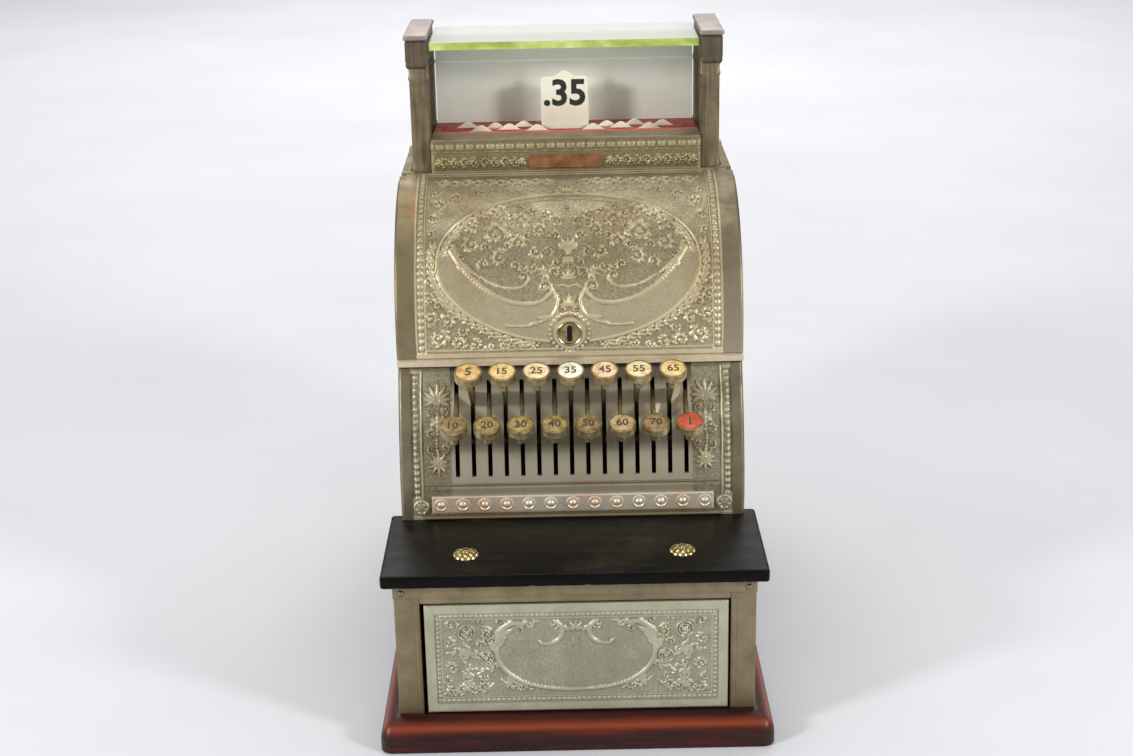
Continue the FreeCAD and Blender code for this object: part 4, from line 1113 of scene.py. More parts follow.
# %% [markdown]
# Inside the oval, two long stems sweep down to the lock and leafy scrolls fill the rest. Each scroll is
# one row here: where it stands, how wide it is, where it starts and how far it winds.
# Scattering them by a rule would be shorter, but rows listed one by one leave no gaps.

# %% Foliage of the lid
lower_scroll = (
    stem([(79, 74), (72, 62), (58, 47), (42, 38), (27, 35.5), (17, 38), (11, 45)], 1.9, 1.3, 1.5)
    + curl(16, 47.5, 5.0, -150, -1.3, 1.1, 1.3)
    + stem([(76, 70), (66, 59), (50, 49), (38, 46), (30, 48), (27, 53)], 1.2, 1.0, 1.0)
    + curl(30.5, 54.5, 3.6, 190, -1.2, 0.8, 1.1)
    + stem([(9, 43), (7, 36), (10, 29), (18, 24), (30, 21), (42, 22)], 1.4, 1.2, 0.9)
    + spray(0, 34, 90, 9, 5, 60, 1.3)
    + acanthus(4.6, 32, 2.8, 60, 1.1, 1.1)
    + leaf(12, 28, -20, 10, 1.6, 1.2, 0.5)
    + leaf(20, 24, -10, 9, 1.3, 1.1, -0.4)
    + leaf(76, 70, 70, 9, 1.8, 1.2, 0.6)
    + leaf(70, 60, 20, 6, 1.2, 1.0, 0.6)
)
fan = (
    spray(0, 74, 90, 10, 7, 80, 1.4)
    + spray(0, 68, -90, 7, 5, 60, 1.3)
    + blossom(0, 72, 2.6, 6, 1.7)
    + acanthus(4.6, 77, 3.4, 100, 1.2, 1.3)
    + acanthus(4.4, 67, 3.0, 260, -1.2, 1.2)
    + acanthus(7.5, 64, 5.4, 200, 1.2, 1.4)
    + acanthus(14, 72, 4.6, 240, -1.2, 1.3)
    + acanthus(8, 84, 4.8, 340, 1.2, 1.3)
    + spray(0, 52, 90, 9, 5, 60, 1.2)
    + stem([(0, 47), (5, 49), (10, 46)], 0.8, 1.0, 0.6)
    + spray(14, 58, -20, 9, 5, 60, 1.2)
)
inner_scrolls = [
    (49, 86, 11.5, 200, -1.5), (31, 96, 8.5, 30, 1.3), (19, 88, 7.0, 140, -1.3), (64, 94, 8.0, 250, 1.3),
    (65, 78, 7.5, 60, -1.3), (33, 79, 7.5, 330, 1.3), (46, 68, 7.5, 110, -1.3), (22, 72, 6.0, 200, 1.2),
    (24, 61, 5.5, 20, -1.2), (57, 64, 5.5, 300, 1.2), (15, 101, 6.5, 300, -1.3), (46, 102, 6.5, 160, 1.2),
    (36, 62, 5.0, 240, -1.2), (7, 95, 5.4, 60, 1.2), (0, 106, 5.0, 90, 1.2), (40, 90, 4.6, 10, 1.2),
    (56, 76, 4.4, 200, -1.2), (42, 76, 4.2, 90, 1.2), (27, 84, 4.4, 250, 1.2), (56, 98, 4.2, 120, 1.2),
    (72, 70, 4.0, 180, 1.2), (39, 101, 4.4, 320, -1.2), (23, 104, 4.4, 60, -1.2), (60, 104, 5.0, 20, -1.2),
    (30, 108, 5.0, 200, 1.2), (9, 57, 5.0, 0, 1.1), (74, 86, 5.5, 120, -1.2),
]
corner_scrolls = [
    (88, 14, 8.5, 120, 1.4), (75, 10, 6.5, 220, -1.3), (93, 28, 6.5, 300, -1.3), (82, 25, 6.5, 40, 1.3),
    (64, 9, 5.5, 90, 1.2), (94, 41, 5.5, 60, 1.2), (72, 19, 5.0, 160, 1.2), (88, 36, 4.6, 200, -1.2),
    (94, 52, 4.6, 240, -1.2), (54, 7.5, 4.4, 0, -1.2), (44, 8.5, 4.4, 180, 1.2), (34, 8.0, 4.2, 20, -1.2),
    (24, 9.5, 4.2, 160, 1.2), (88, 112, 7.5, 250, -1.3), (92, 99, 5.0, 80, 1.2), (76, 119, 6.0, 30, 1.3),
    (90, 124, 5.0, 160, 1.2), (64, 124, 4.6, 200, -1.2), (93, 87, 4.0, 280, -1.2),
]
lid_motifs = wreath + lower_scroll + fan
for scroll in inner_scrolls + corner_scrolls:
    lid_motifs += acanthus(*scroll, 1.25)
frieze_bends = [(4 + 8 * number, 137 + (4.5 if number % 2 else -4.5)) for number in range(12)]
lid_motifs += scrolled_stem(frieze_bends, 6.4, 1.2)
lid_motifs += spray(0, 123, 90, 9, 5, 60, 1.3) + acanthus(5, 127, 3.6, 200, 1.2, 1.2)
lid_motifs += vine([(4, 122), (16, 127), (30, 124), (44, 128), (56, 125)], 0.6, 0.9, 14, 5.5)
print("lid motifs", len(lid_motifs))

# %% [markdown]
# The lid's relief is one sheet from the lip to the hinge: beads down both sides, a twisted cord along the
# lip, the oval's raised line and a ring of beads about the lock. It lies on the frame's lid as a skin.

# %% Lid relief
FIELD_HALF_WIDTH = 102.4
FIELD_FOOT = 3.5
FIELD_TOP = 155
BAND_LEVEL = 0.95
PLAIN_EDGE_U = [0, 7, 8, 10, 17, 27, 42, 58, 72, 79]
PLAIN_EDGE_V = [0, 0, 34, 40, 37, 35, 38, 47, 62, 74]
LOCK_V = 17.0
LOCK_BEADS_RADIUS = 12.9


def lid_relief(u, v):
    """Columns of beads, fillets, foliage and the oval's line. The distance from an oval is roughly
    (share - 1) x share / slope, where share is 1 on the oval itself."""
    side = np.abs(u)
    in_field = (side < FIELD_HALF_WIDTH) & (v > FIELD_FOOT) & (v < FIELD_TOP)
    oval_share = np.hypot(side / OVAL_HALF_WIDTH, (v - OVAL_MIDDLE) / OVAL_HALF_HEIGHT)
    oval_slope = np.hypot(side / OVAL_HALF_WIDTH**2, (v - OVAL_MIDDLE) / OVAL_HALF_HEIGHT**2)
    from_oval = (oval_share - 1) * oval_share / np.maximum(oval_slope, 1e-4)
    plain = (oval_share < 1) & (v < np.interp(side, PLAIN_EDGE_U, PLAIN_EDGE_V))
    ground = np.where(plain, GROUND + 0.3, GROUND + stipple(u, v, 0.09))
    from_lock = np.hypot(u, v - LOCK_V)
    around_lock = np.arctan2(v - LOCK_V, u) * LOCK_BEADS_RADIUS
    clear = (v > 6) & (from_lock > 14.4)
    oval_line = np.maximum(ridge(from_oval, 1.1, 1.3), ridge(from_oval + 4.5, 0.6, 0.6) * (v > 88))
    return highest(
        np.where(in_field, ground, BAND_LEVEL),
        GROUND + pearls(side - 99.6, v, 4.7, 1.9, 0.9) * in_field,
        GROUND + ridge(side - 96.8, 0.7, 0.6) * in_field,
        GROUND + rope(v - 1.6, u, 3.2, 1.4, 1.0),
        GROUND + ridge(v - 5.2, 0.7, 0.7) * (side < 97),
        GROUND + rope(v - 151.5, u, 3.6, 1.2, 0.7) * (side < 97),
        GROUND + pearls(from_lock - LOCK_BEADS_RADIUS, around_lock, 3.377, 1.3, 0.9),
        GROUND + carved(side, v, lid_motifs) * (side < 96) * clear,
        GROUND + oval_line * clear,
    )


lid_u = np.linspace(-103.6, 103.6, 352)
lid_v = np.linspace(0.3, 158.2, 268)
lid_faces = cast_panel("lid_relief", lid_face, lid_u, lid_v, lid_relief, 0.6, nickel["relief"], "lid")
print("lid relief faces", lid_faces)

# %% [markdown]
# Outside the ornament the lid has a plain band down each side. The left one has been stained
# copper and green by whatever stood beside it. Behind the notch that lets the lid swing, the cheek
# carries the same curve on to the indicator box. A bent strip could be fitted to each place, but the
# lid's own curve serves for all six.

# %% Lid side bands
CABINET_HALF_WIDTH = 117.0
side_bands = (
    ("lid_band", "lid", (103.4, CABINET_HALF_WIDTH, 16), (0.3, 143.2, 60), BAND_LEVEL, 0.6),
    ("lid_corner", "lid", (103.4, 112.4, 6), (143.0, 158.0, 12), BAND_LEVEL, 0.6),
    ("cheek_shoulder", "root", (112.9, CABINET_HALF_WIDTH, 8), (145.2, 158.6, 12), -0.4, 5.0),
)
for side_name, sign, metal in (("left", -1, nickel["stained"]), ("right", 1, nickel["lid_band"])):
    for band_name, body, across, up, height, sink in side_bands:
        band_u = np.sort(sign * np.linspace(*across))
        band_v = np.linspace(*up)
        plain_band = rolled(height, 115.6, 0.5)
        cast_panel(f"{band_name}_{side_name}", lid_face, band_u, band_v, plain_band, sink, metal, body)
print("side bands", 2 * len(side_bands))

# %% [markdown]
# The photograph doesn't show the sides and the back. Registers of this kind carry the front's ornament
# round, so each side has one framed field and the rear cover has another, with the same scrolls.
# Their layout is a guess. Leaving them bare would be simpler but would look unlike any real one.

# %% Side and rear fields
REAR_RADIUS = 92
REAR_MIDDLE_Y = 95
REAR_MIDDLE_LEVEL = 248


def cheek_face(sign):
    """The outer face of a cheek: across runs to the front on the left, and to the back on the right."""

    def face(u, v):
        points = np.stack([np.full_like(u, sign * CABINET_HALF_WIDTH), sign * u, v], axis=-1)
        return points, np.broadcast_to([sign * 1.0, 0.0, 0.0], points.shape)

    return face


def rear_cover_face(u, v):
    """A point of the rear cover: upright, and above its middle's level a quarter circle."""
    angle = np.maximum(v - REAR_MIDDLE_LEVEL, 0) / REAR_RADIUS
    y = REAR_MIDDLE_Y + REAR_RADIUS * np.cos(angle)
    z = np.where(v > REAR_MIDDLE_LEVEL, REAR_MIDDLE_LEVEL + REAR_RADIUS * np.sin(angle), v)
    outward = np.stack([np.zeros_like(u), np.cos(angle), np.sin(angle)], axis=-1)
    return np.stack([-u, y, z], axis=-1), outward


def field_motifs(half_width, half_height):
    """An oval line with a palmette in it, a ring of scrolls and corner scrolls, for one quarter."""
    turn = np.radians(np.linspace(-2, 92, 60))
    line = np.stack([0.72 * half_width * np.cos(turn), 0.66 * half_height * np.sin(turn)], axis=-1)
    motifs = [(line, np.full(60, 1.2), 0.9)]
    motifs += spray(0, 0, 90, 0.26 * half_height, 9, 80, 1.1) + spray(0, 0, 0, 0.2 * half_width, 5, 60, 1.1)
    for number in range(5):
        angle = math.radians(9 + 18 * number)
        u = 0.45 * half_width * math.cos(angle)
        v = 0.42 * half_height * math.sin(angle)
        motifs += acanthus(u, v, 0.12 * half_width, 80 * number, 1.3 if number % 2 else -1.3, 1.0)
    corners = ((0.8, 0.78, 0.17, 20), (0.62, 0.86, 0.1, 150), (0.87, 0.56, 0.1, 250))
    for share_u, share_v, size, start in corners:
        motifs += acanthus(share_u * half_width, share_v * half_height, size * half_width, start, 1.4, 1.0)
    return motifs + blossom(0, 0, 0.08 * half_width, 8, 1.3)


def framed_field(middle_u, middle_v, half_width, half_height):
    """The height of a field with a plain rim, a row of beads and motifs mirrored both ways."""
    motifs = field_motifs(half_width, half_height)

    def height(across, v):
        u = across - middle_u
        side = np.abs(u)
        up = np.abs(v - middle_v)
        border = np.maximum(side - half_width, up - half_height)
        along = np.where(side - half_width > up - half_height, v, u)
        return highest(
            np.where(border > -3.0, 0.9, GROUND + stipple(u, v, 0.08)),
            GROUND + pearls(border + 5.0, along, 4.0, 1.5, 0.8),
            GROUND + carved(side, up, motifs) * (border < -7),
        )

    return height


for field_name, face, middle_u, middle_v, half_width, half_height, columns, rows in (
    ("cheek_field_left", cheek_face(-1), -42.0, 200.0, 88.0, 62.0, 250, 176),
    ("cheek_field_right", cheek_face(1), 42.0, 200.0, 88.0, 62.0, 250, 176),
    ("rear_field", rear_cover_face, 0.0, 218.0, 96.0, 78.0, 260, 212),
):
    field_u = np.linspace(-half_width, half_width, columns) + middle_u
    field_v = np.linspace(middle_v - half_height, middle_v + half_height, rows)
    field_height = framed_field(middle_u, middle_v, half_width, half_height)
    field_faces = cast_panel(field_name, face, field_u, field_v, field_height, 0.4, nickel["field"], "root")
    print(field_name, field_faces, "faces")

# %% [markdown]
# The lock sits in a raised ring. The ring is turned: a hollow, a bead and a flare down to the lid.
# A torus would miss its stepped profile. The keyhole is a thin dark plate that turns with the barrel.

# %% Lock ring
LOCK_LEVEL = 252
LID_FRONT = LID_MIDDLE_Y - LID_RADIUS
ring_rows = [(7.2, 3.2), (7.3, 4.2), (8.0, 4.7), (8.7, 4.3), (9.2, 3.2), (9.7, 2.0)]
ring_rows += [(10.4, 1.4), (10.5, -0.4), (7.2, -0.4)]
ring_radius, ring_out = np.array(ring_rows).T[:, :, None]
angle = np.linspace(0, 2 * math.pi, 72, endpoint=False)[None, :]
ring_x = ring_radius * np.cos(angle)
ring_y = np.broadcast_to(LID_FRONT - ring_out, ring_x.shape)
ring_grid = np.stack([ring_x, ring_y, LOCK_LEVEL + ring_radius * np.sin(angle)], axis=-1)
piece("lock_ring", hoop(ring_grid), lock_brass, "lid", ())
keyhole = stack(1.7, 5.6, 1.6, [(0.2, 0.0), (0.0, 0.2), (0.0, 0.5), (0.2, 0.6)], corner_steps=6)
piece("keyhole", moved(swung(keyhole, 90), 0, LID_FRONT - 3.2, LOCK_LEVEL), ink, "lock", ())
print("lock ring", len(ring_rows), "rows")

# %% [markdown]
# The keyboard's side frames are part of its casting: a plain outer band, a channel with a thin column
# of beads, and a sprig of leaves beside the first and last slot. All of it lies on the plate's own curve,
# which the frame's plate is drawn from too, so a flat panel bent afterwards would fit less well.

# %% Keyboard sides
KEYBOARD_RADIUS = 200.0
KEYBOARD_FOOT = 126
KEYBOARD_FRONT = -107.0
UPRIGHT = 22
BEND_CENTRE = (91.16, 120.89)
BEND_START = math.atan2(27.11, 198.16)


def keyboard_face(u, v):
    """A point of the keyboard plate by its distance across and up: upright at first, then an arc."""
    angle = BEND_START + (v - UPRIGHT) / KEYBOARD_RADIUS
    curved = v > UPRIGHT
    y = np.where(curved, BEND_CENTRE[0] - KEYBOARD_RADIUS * np.cos(angle), KEYBOARD_FRONT)
    z = np.where(curved, BEND_CENTRE[1] + KEYBOARD_RADIUS * np.sin(angle), KEYBOARD_FOOT + v)
    lean = np.where(curved, angle, 0.0)
    outward = np.stack([np.zeros_like(u), -np.cos(lean), np.sin(lean)], axis=-1)
    return np.stack([u, y, z], axis=-1), outward


SPRIG_U = 90.5
CHANNEL_INNER = 102.8
CORNER_PLACE = (103.4, 9.0)
FRAME_LEVEL = 1.2
sprig = (
    stem([(90.5, 34), (91.5, 52), (90, 70), (91, 90)], 0.8, 1.0, 0.6)
    + spray(SPRIG_U, 40, -90, 9, 7, 85, 1.4)
    + spray(SPRIG_U, 40, 90, 9, 5, 60, 1.3)
    + blossom(SPRIG_U, 41, 3.2, 6, 1.6)
    + acanthus(86.0, 50, 4.6, 300, -1.2, 1.3)
    + acanthus(95.0, 50, 4.6, 240, 1.2, 1.3)
    + acanthus(86.0, 60, 4.4, 60, 1.2, 1.2)
    + acanthus(95.0, 60, 4.4, 120, -1.2, 1.2)
    + blossom(90.3, 68, 4.6, 6, 1.6)
    + acanthus(86.0, 75, 4.2, 300, -1.2, 1.2)
    + acanthus(95.0, 75, 4.2, 240, 1.2, 1.2)
    + spray(90.6, 82, 90, 13, 9, 95, 1.5)
    + blossom(90.6, 82, 3.0, 5, 1.6)
)


def keyboard_relief(u, v):
    """Sunk channel with a column of beads, fillet, sprig, and a rosette in the lower corner."""
    side = np.abs(u)
    outside = side > CHANNEL_INNER
    in_channel = outside & (v > 16) & (v < 101)
    height = highest(
        np.where(outside, np.where(in_channel, 0.08, FRAME_LEVEL), GROUND + stipple(u, v, 0.06)),
        pearls(side - 105.7, v, 4.4, 1.9, 1.3) * in_channel,
        ridge(side - 101.9, 0.9, 1.5) * (v > 3),
    )
    from_corner = np.hypot(side - CORNER_PLACE[0], v - CORNER_PLACE[1])
    in_corner = from_corner < 5.4
    height = highest(
        np.where(in_corner, FRAME_LEVEL, height),
        (FRAME_LEVEL + ridge(from_corner - 4.4, 0.8, 0.7)) * in_corner,
        (FRAME_LEVEL + carved(side, v, blossom(*CORNER_PLACE, 3.6, 6, 0.9))) * (from_corner < 3.8),
    )
    height = np.where((v < 2.2) | (v > 103.2), 1.5, height)
    return np.maximum(height, (GROUND + carved(side, v, sprig)) * (side < 101))


keyboard_v = np.linspace(0.2, 105.2, 190)
plain_band = rolled(1.6, 115.2, 0.4)
for side_name, sign in (("left", -1), ("right", 1)):
    inner_u = np.sort(sign * np.linspace(82.0, 109.2, 60))
    outer_u = np.sort(sign * np.linspace(109.0, CABINET_HALF_WIDTH, 14))
    for part_name, across, up, height, metal in (
        ("keyboard", inner_u, keyboard_v, keyboard_relief, nickel["keyboard"]),
        ("keyboard_band", outer_u, keyboard_v[::4], plain_band, nickel["band"]),
    ):
        cast_panel(f"{part_name}_{side_name}", keyboard_face, across, up, height, 0.5, metal, "root")
print("motifs of the sprig", len(sprig))

# %% [markdown]
# Under the slots runs a bright strip with thirteen ringed bosses, and under that the plate's rolled foot.
# Bosses could be spheres set on a bar. One height rule over the strip keeps them part of it, as cast.

# %% Bead strip
BOSS_PITCH = 15
BOSS_LEVEL = 10.75
STRIP_HALF_WIDTH = 96
STRIP_FACE = 1.35


def strip_relief(u, v):
    """A raised strip with thirteen ringed bosses."""
    beat = (u + 6.5 * BOSS_PITCH) % BOSS_PITCH - BOSS_PITCH / 2
    away = np.hypot(beat, v - BOSS_LEVEL)
    edge = np.minimum(STRIP_HALF_WIDTH - np.abs(u), 6.25 - np.abs(v - BOSS_LEVEL))
    return highest(
        np.where(away < 4.6, STRIP_FACE, 1.7 - 0.9 * np.clip(1 - edge / 0.9, 0, 1) ** 2),
        STRIP_FACE + ridge(away - 3.9, 0.75, 0.75),
        STRIP_FACE + ridge(away, 2.5, 1.75),
    )


def foot_relief(u, v):
    """The rolled lower edge of the keyboard plate, and the thin rule above the strip."""
    return highest(GROUND + ridge(v - 1.3, 1.5, 2.2), GROUND + ridge(v - 24.6, 0.6, 0.45))


strip_u = np.linspace(-STRIP_HALF_WIDTH, STRIP_HALF_WIDTH, 460)
strip_v = np.linspace(4.5, 17.0, 34)
strip_shape, _ = panel(keyboard_face, strip_u, strip_v, strip_relief, 0.3)
strip_wear = np.clip(KEYBOARD_FRONT - 0.6 - strip_shape[0][:, 1], 0, 1)
piece("bead_strip_face", strip_shape, nickel["strip"], "root", ("bead_strip",), relief=strip_wear)
for rule_name, low, high in (("foot", 0.1, 4.4), ("rule", 23.6, 25.6)):
    rule_u = np.linspace(-101, 101, 20)
    rule_v = np.linspace(low, high, 20)
    cast_panel(
        f"keyboard_{rule_name}", keyboard_face, rule_u, rule_v, foot_relief, 0.3, nickel["case"], "root"
    )
print("bead strip faces", len(strip_shape[1]))

# %% [markdown]
# Each key ends in a round cap: a plated rim round a celluloid disc with a number. The caps and discs of
# the frame stay beneath. A turned rim fits over each, and a thin domed disc lies in it. Keys of one
# row could be copies of one mesh, but each rides on its own lever, so each gets its own.

# %% Shapes of a key cap
KEY_PITCH = 11.1
MIDDLE_KEY = 8
CAP_TILT = 20.0
KEY_Y = -136.0
UPPER_ROW = 242.0
LOWER_ROW = 205.0
cap_rows = [(8.3, -0.3), (8.9, 0.2), (9.05, 1.0), (8.75, 1.7), (8.8, 3.2), (9.05, 4.4), (9.1, 5.3)]
cap_rows += [(8.9, 5.9), (8.5, 6.1), (8.15, 5.9), (8.0, 5.4), (0.05, 5.4)]
cap_shape = turned(cap_rows, 56)
disc_shape = turned([(7.98, 5.2), (7.9, 5.75), (6.6, 5.95), (4.0, 6.1), (0.05, 6.2)], 48)


def on_key(shape, number):
    """Moves a shape drawn about the cap's foot to a key: the cap leans towards the clerk."""
    level = LOWER_ROW if number % 2 else UPPER_ROW
    normal = np.array([0, -math.sin(math.radians(CAP_TILT)), math.cos(math.radians(CAP_TILT))])
    foot = np.array([0, KEY_Y, level]) - normal * 5.5
    return moved(swung(shape, CAP_TILT), KEY_PITCH * (number - MIDDLE_KEY), foot[1], foot[2])


print("cap", len(cap_shape[0]), "points, disc", len(disc_shape[0]))

# %% [markdown]
# The celluloid has yellowed unevenly, and one disc is red. Fifteen finishes could be mixed by hand, but
# nine shades shared out over the keys vary as much. Amounts run up in tens in the lower row and by fives
# between them in the upper one.

# %% Legends
legend_shades = {
    "brown": ((140, 110, 60), (92, 70, 34), (184, 154, 92)),
    "ochre": ((204, 160, 76), (152, 106, 42), (230, 200, 124)),
    "olive": ((158, 132, 68), (110, 88, 38), (198, 180, 112)),
    "tan": ((188, 156, 104), (140, 108, 64), (216, 190, 146)),
    "gold": ((214, 180, 102), (168, 130, 58), (236, 214, 148)),
    "cream": ((224, 200, 144), (184, 146, 88), (242, 226, 184)),
    "white": ((228, 222, 194), (186, 178, 140), (244, 242, 224)),
    "pink": ((224, 186, 136), (180, 134, 84), (242, 216, 178)),
    "red": ((190, 62, 6), (142, 36, 4), (216, 104, 22)),
}
legend_finish = {}
for shade, (middle, dark, light) in legend_shades.items():
    legend_finish[shade] = mottled(
        f"legend_{shade}", middle, {"size": 5, "detail": 7, "rough": 0.65},
        [(0.34, dark), (0.5, middle), (0.68, light)], fine_grain(1.0, 3), 0.04,
        Roughness=0.4, Coat_Weight=0.1, Coat_Roughness=0.2,
    )
amounts = ["10", "5", "20", "15", "30", "25", "40", "35", "50", "45", "60", "55", "70", "65", "1"]
shades = ["brown", "ochre", "olive", "gold", "olive", "cream", "olive", "white"]
shades += ["brown", "pink", "tan", "cream", "brown", "gold", "red"]
print("legends", len(amounts), "in", len(legend_finish), "shades")

# %% [markdown]
# The numbers are flat black-brown figures under the celluloid. Painting them on would need a picture.
# Set as text and made a mesh, they stay sharp from close by.

# %% Key caps


def lettered(text, height, thickness, width_share, weight):
    """A number as a flat mesh in millimetres, centred on the origin, facing +Z, its foot at level 0."""
    curve = bpy.data.curves.new("figures", "FONT")
    curve.body = text
    curve.size = 10.0
    curve.offset = weight
    curve.extrude = 0.5
    curve.resolution_u = 3
    holder = bpy.data.objects.new("figures", curve)
    mesh = bpy.data.meshes.new_from_object(holder)
    points = np.zeros(len(mesh.vertices) * 3)
    mesh.vertices.foreach_get("co", points)
    points = points.reshape(-1, 3)
    faces = [list(polygon.vertices) for polygon in mesh.polygons]
    low, high = points.min(axis=0), points.max(axis=0)
    scale = height / (high[1] - low[1])
    points = points - np.array([(low[0] + high[0]) / 2, (low[1] + high[1]) / 2, low[2]])
    points *= np.array([scale * width_share, scale, thickness / (high[2] - low[2])])
    bpy.data.objects.remove(holder)
    bpy.data.curves.remove(curve)
    bpy.data.meshes.remove(mesh)
    return points, faces


for number, (text, shade) in enumerate(zip(amounts, shades), 1):
    body = f"key_{number:02d}"
    figures = moved(lettered(text, 6.6 if len(text) > 1 else 7.6, 0.3, 0.92, 0.15), z=5.98)
    for part_name, shape, material in (
        ("rim", cap_shape, key_metal),
        ("disc", disc_shape, legend_finish[shade]),
        ("figure", figures, legend_ink),
    ):
        piece(f"{body}_{part_name}", on_key(shape, number), material, body, ())
print("key caps", len(amounts))

# %% [markdown]
# Price tablets carry the same amounts, in black on cream enamel, on both sides. The plate has round
# shoulders and a small peak. A boolean of boxes would make it too, but an outline with a soft edge is
# lighter and cleaner. Under the plate hangs a thin rod with a rounded foot.

# %% Shapes of a tablet
TABLET_HALF_WIDTH = 17.0
TABLET_HEIGHT = 50.0
TABLET_PEAK = 4.4
SHOULDER_RADIUS = 3
PLATE_THICKNESS = 1.2
FOOT_RADIUS = 3


def tablet_outline():
    """The tablet's edge about the tip of its peak, anticlockwise: straight sides, then round shoulders."""
    quarter = np.linspace(0, math.pi / 2, 9)
    shoulder_u = TABLET_HALF_WIDTH - SHOULDER_RADIUS + SHOULDER_RADIUS * np.cos(quarter)
    shoulder_v = -TABLET_PEAK - SHOULDER_RADIUS + SHOULDER_RADIUS * np.sin(quarter)
    share = np.linspace(0, 1, 12)
    slope = np.stack([9.0 * (1 - share), -TABLET_PEAK + TABLET_PEAK * (3 * share**2 - 2 * share**3)], axis=-1)
    foot = [[TABLET_HALF_WIDTH - 1, -TABLET_HEIGHT], [TABLET_HALF_WIDTH, 1 - TABLET_HEIGHT]]
    right = np.vstack([foot, np.stack([shoulder_u, shoulder_v], axis=-1), slope])
    return np.vstack([right, right[::-1][1:] * np.array([-1, 1])])


def flat_plate(outline, thickness, soft):
    """A plate from its outline, with a soft edge, lying on level 0."""
    middle = (outline.min(axis=0) + outline.max(axis=0)) / 2
    half = (outline.max(axis=0) - outline.min(axis=0)) / 2
    rows = []
    for inset, level in ((soft, 0), (0, soft), (0, thickness - soft), (soft, thickness)):
        edge = middle + (outline - middle) * (1 - inset / half)
        rows.append(np.column_stack([edge, np.full(len(edge), level)]))
    return tube(np.stack(rows))


def rod_foot():
    """A rod's rounded foot as an outline about its round centre, drawn across by 4 mm."""
    turn = np.linspace(math.pi, 2 * math.pi, 17)
    bottom = np.stack([FOOT_RADIUS * np.cos(turn), FOOT_RADIUS * np.sin(turn)], axis=-1)
    outline = np.vstack([bottom, [[3, 4], [1.6, 7], [0.6, 8.5], [-0.6, 8.5], [-1.6, 7], [-3, 4]]])
    points, faces = flat_plate(outline, 4.0, 0.3)
    return np.stack([points[:, 2] - 2, points[:, 0], points[:, 1]], axis=-1), faces


def facing_back(shape):
    """The same shape turned half round, to face the back."""
    return shape[0] * np.array([-1, -1, 1]), shape[1]


tablet_plate = moved(swung(flat_plate(tablet_outline(), PLATE_THICKNESS, 0.2), 90), y=PLATE_THICKNESS / 2)
foot_shape = rod_foot()
print("tablet plate", len(tablet_plate[0]), "points")

# %% [markdown]
# The fifteen tablets stand in four layers, one behind another, so that wide plates can overlap. Each
# takes its level from the frame's own tablet. The number is a thin mesh a hair proud of the plate.

# %% Tablets
TABLET_PITCH = 10.1
FIRST_LAYER = 50
LAYER_STEP = 4.5
PRICE_HEIGHT = 19.6
PRICE_DROP = 15.9
layer_order = (1, 3, 0, 2)
for number, text in enumerate(amounts, 1):
    body = f"tablet_{number:02d}"
    dollar = text == "1"
    low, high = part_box(body)
    tip = high.z / MM
    foot_z = low.z / MM + FOOT_RADIUS
    middle = TABLET_PITCH * (number - MIDDLE_KEY)
    layer_y = FIRST_LAYER + LAYER_STEP * layer_order[number % 4]
    piece(f"{body}_plate", moved(tablet_plate, middle, layer_y, tip), enamel, body, (body,))
    rod = slab_block((-2, 2), (-0.6, 0.6), (foot_z + 8, tip - TABLET_HEIGHT + 0.3), 0.3, 0.15)
    rod = joined([rod, moved(foot_shape, z=foot_z)])
    rod_x = KEY_PITCH * (number - MIDDLE_KEY)
    piece(f"{body}_rod", moved(rod, rod_x, layer_y), steel, body, ())
    price = "1.00" if dollar else "." + text.rjust(2, "0")
    figures = swung(lettered(price, PRICE_HEIGHT, 0.1, 0.76 if dollar else 1.0, 0.3), 90)
    front = moved(figures, middle, layer_y - 0.59, tip - PRICE_DROP)
    rear = moved(facing_back(figures), middle, layer_y + 0.59, tip - PRICE_DROP)
    piece(f"{body}_price", joined([front, rear]), ink, body, ())
print("tablets", len(amounts))

# %% [markdown]
# The tablets rise through slots in a floor that is lined with dark red baize. One board could have the
# slots cut out, but a board between each two slots needs no cutting. It lies a little higher than the
# shoulders of the tablets that are down, so that only their peaks show. A lighter red lip closes it in front.

# %% Red floor of the indicator
FLOOR_HALF_WIDTH = 94.6
FLOOR_LEVELS = (357.6, 361.4)
END_LEVELS = (357.6, 361.3)
board_edges = [25.4]
for layer in range(4):
    slot_y = FIRST_LAYER + LAYER_STEP * layer
    board_edges += [slot_y - 1.2, slot_y + 1.2]
board_edges += [85.6]
across = (-FLOOR_HALF_WIDTH, FLOOR_HALF_WIDTH)
boards = []
for front_and_back in zip(board_edges[::2], board_edges[1::2]):
    boards.append(slab_block(across, front_and_back, FLOOR_LEVELS, 0.4, 0.3))
for ends in ((-FLOOR_HALF_WIDTH, -89.6), (89.6, FLOOR_HALF_WIDTH)):
    boards.append(slab_block(ends, (25.6, 85.4), END_LEVELS, 0.4, 0.3))
piece("red_floor", joined(boards), red_lining, "root", ("sign_channel",))
floor_lip = slab_block(across, (33.0, 39.5), (360.8, 363.4), 0.6, 0.4)
piece("red_floor_lip", floor_lip, red_paint, "root", ())
print("boards", len(boards) + 1)

# %% [markdown]
# Behind the tablets stands a pale painted screen. It steps back where it meets the rear pane and goes
# on up to the top pane, and that upper part is a shade darker. A bent sheet is a thin outline drawn
# along the width, which gives it a real thickness.

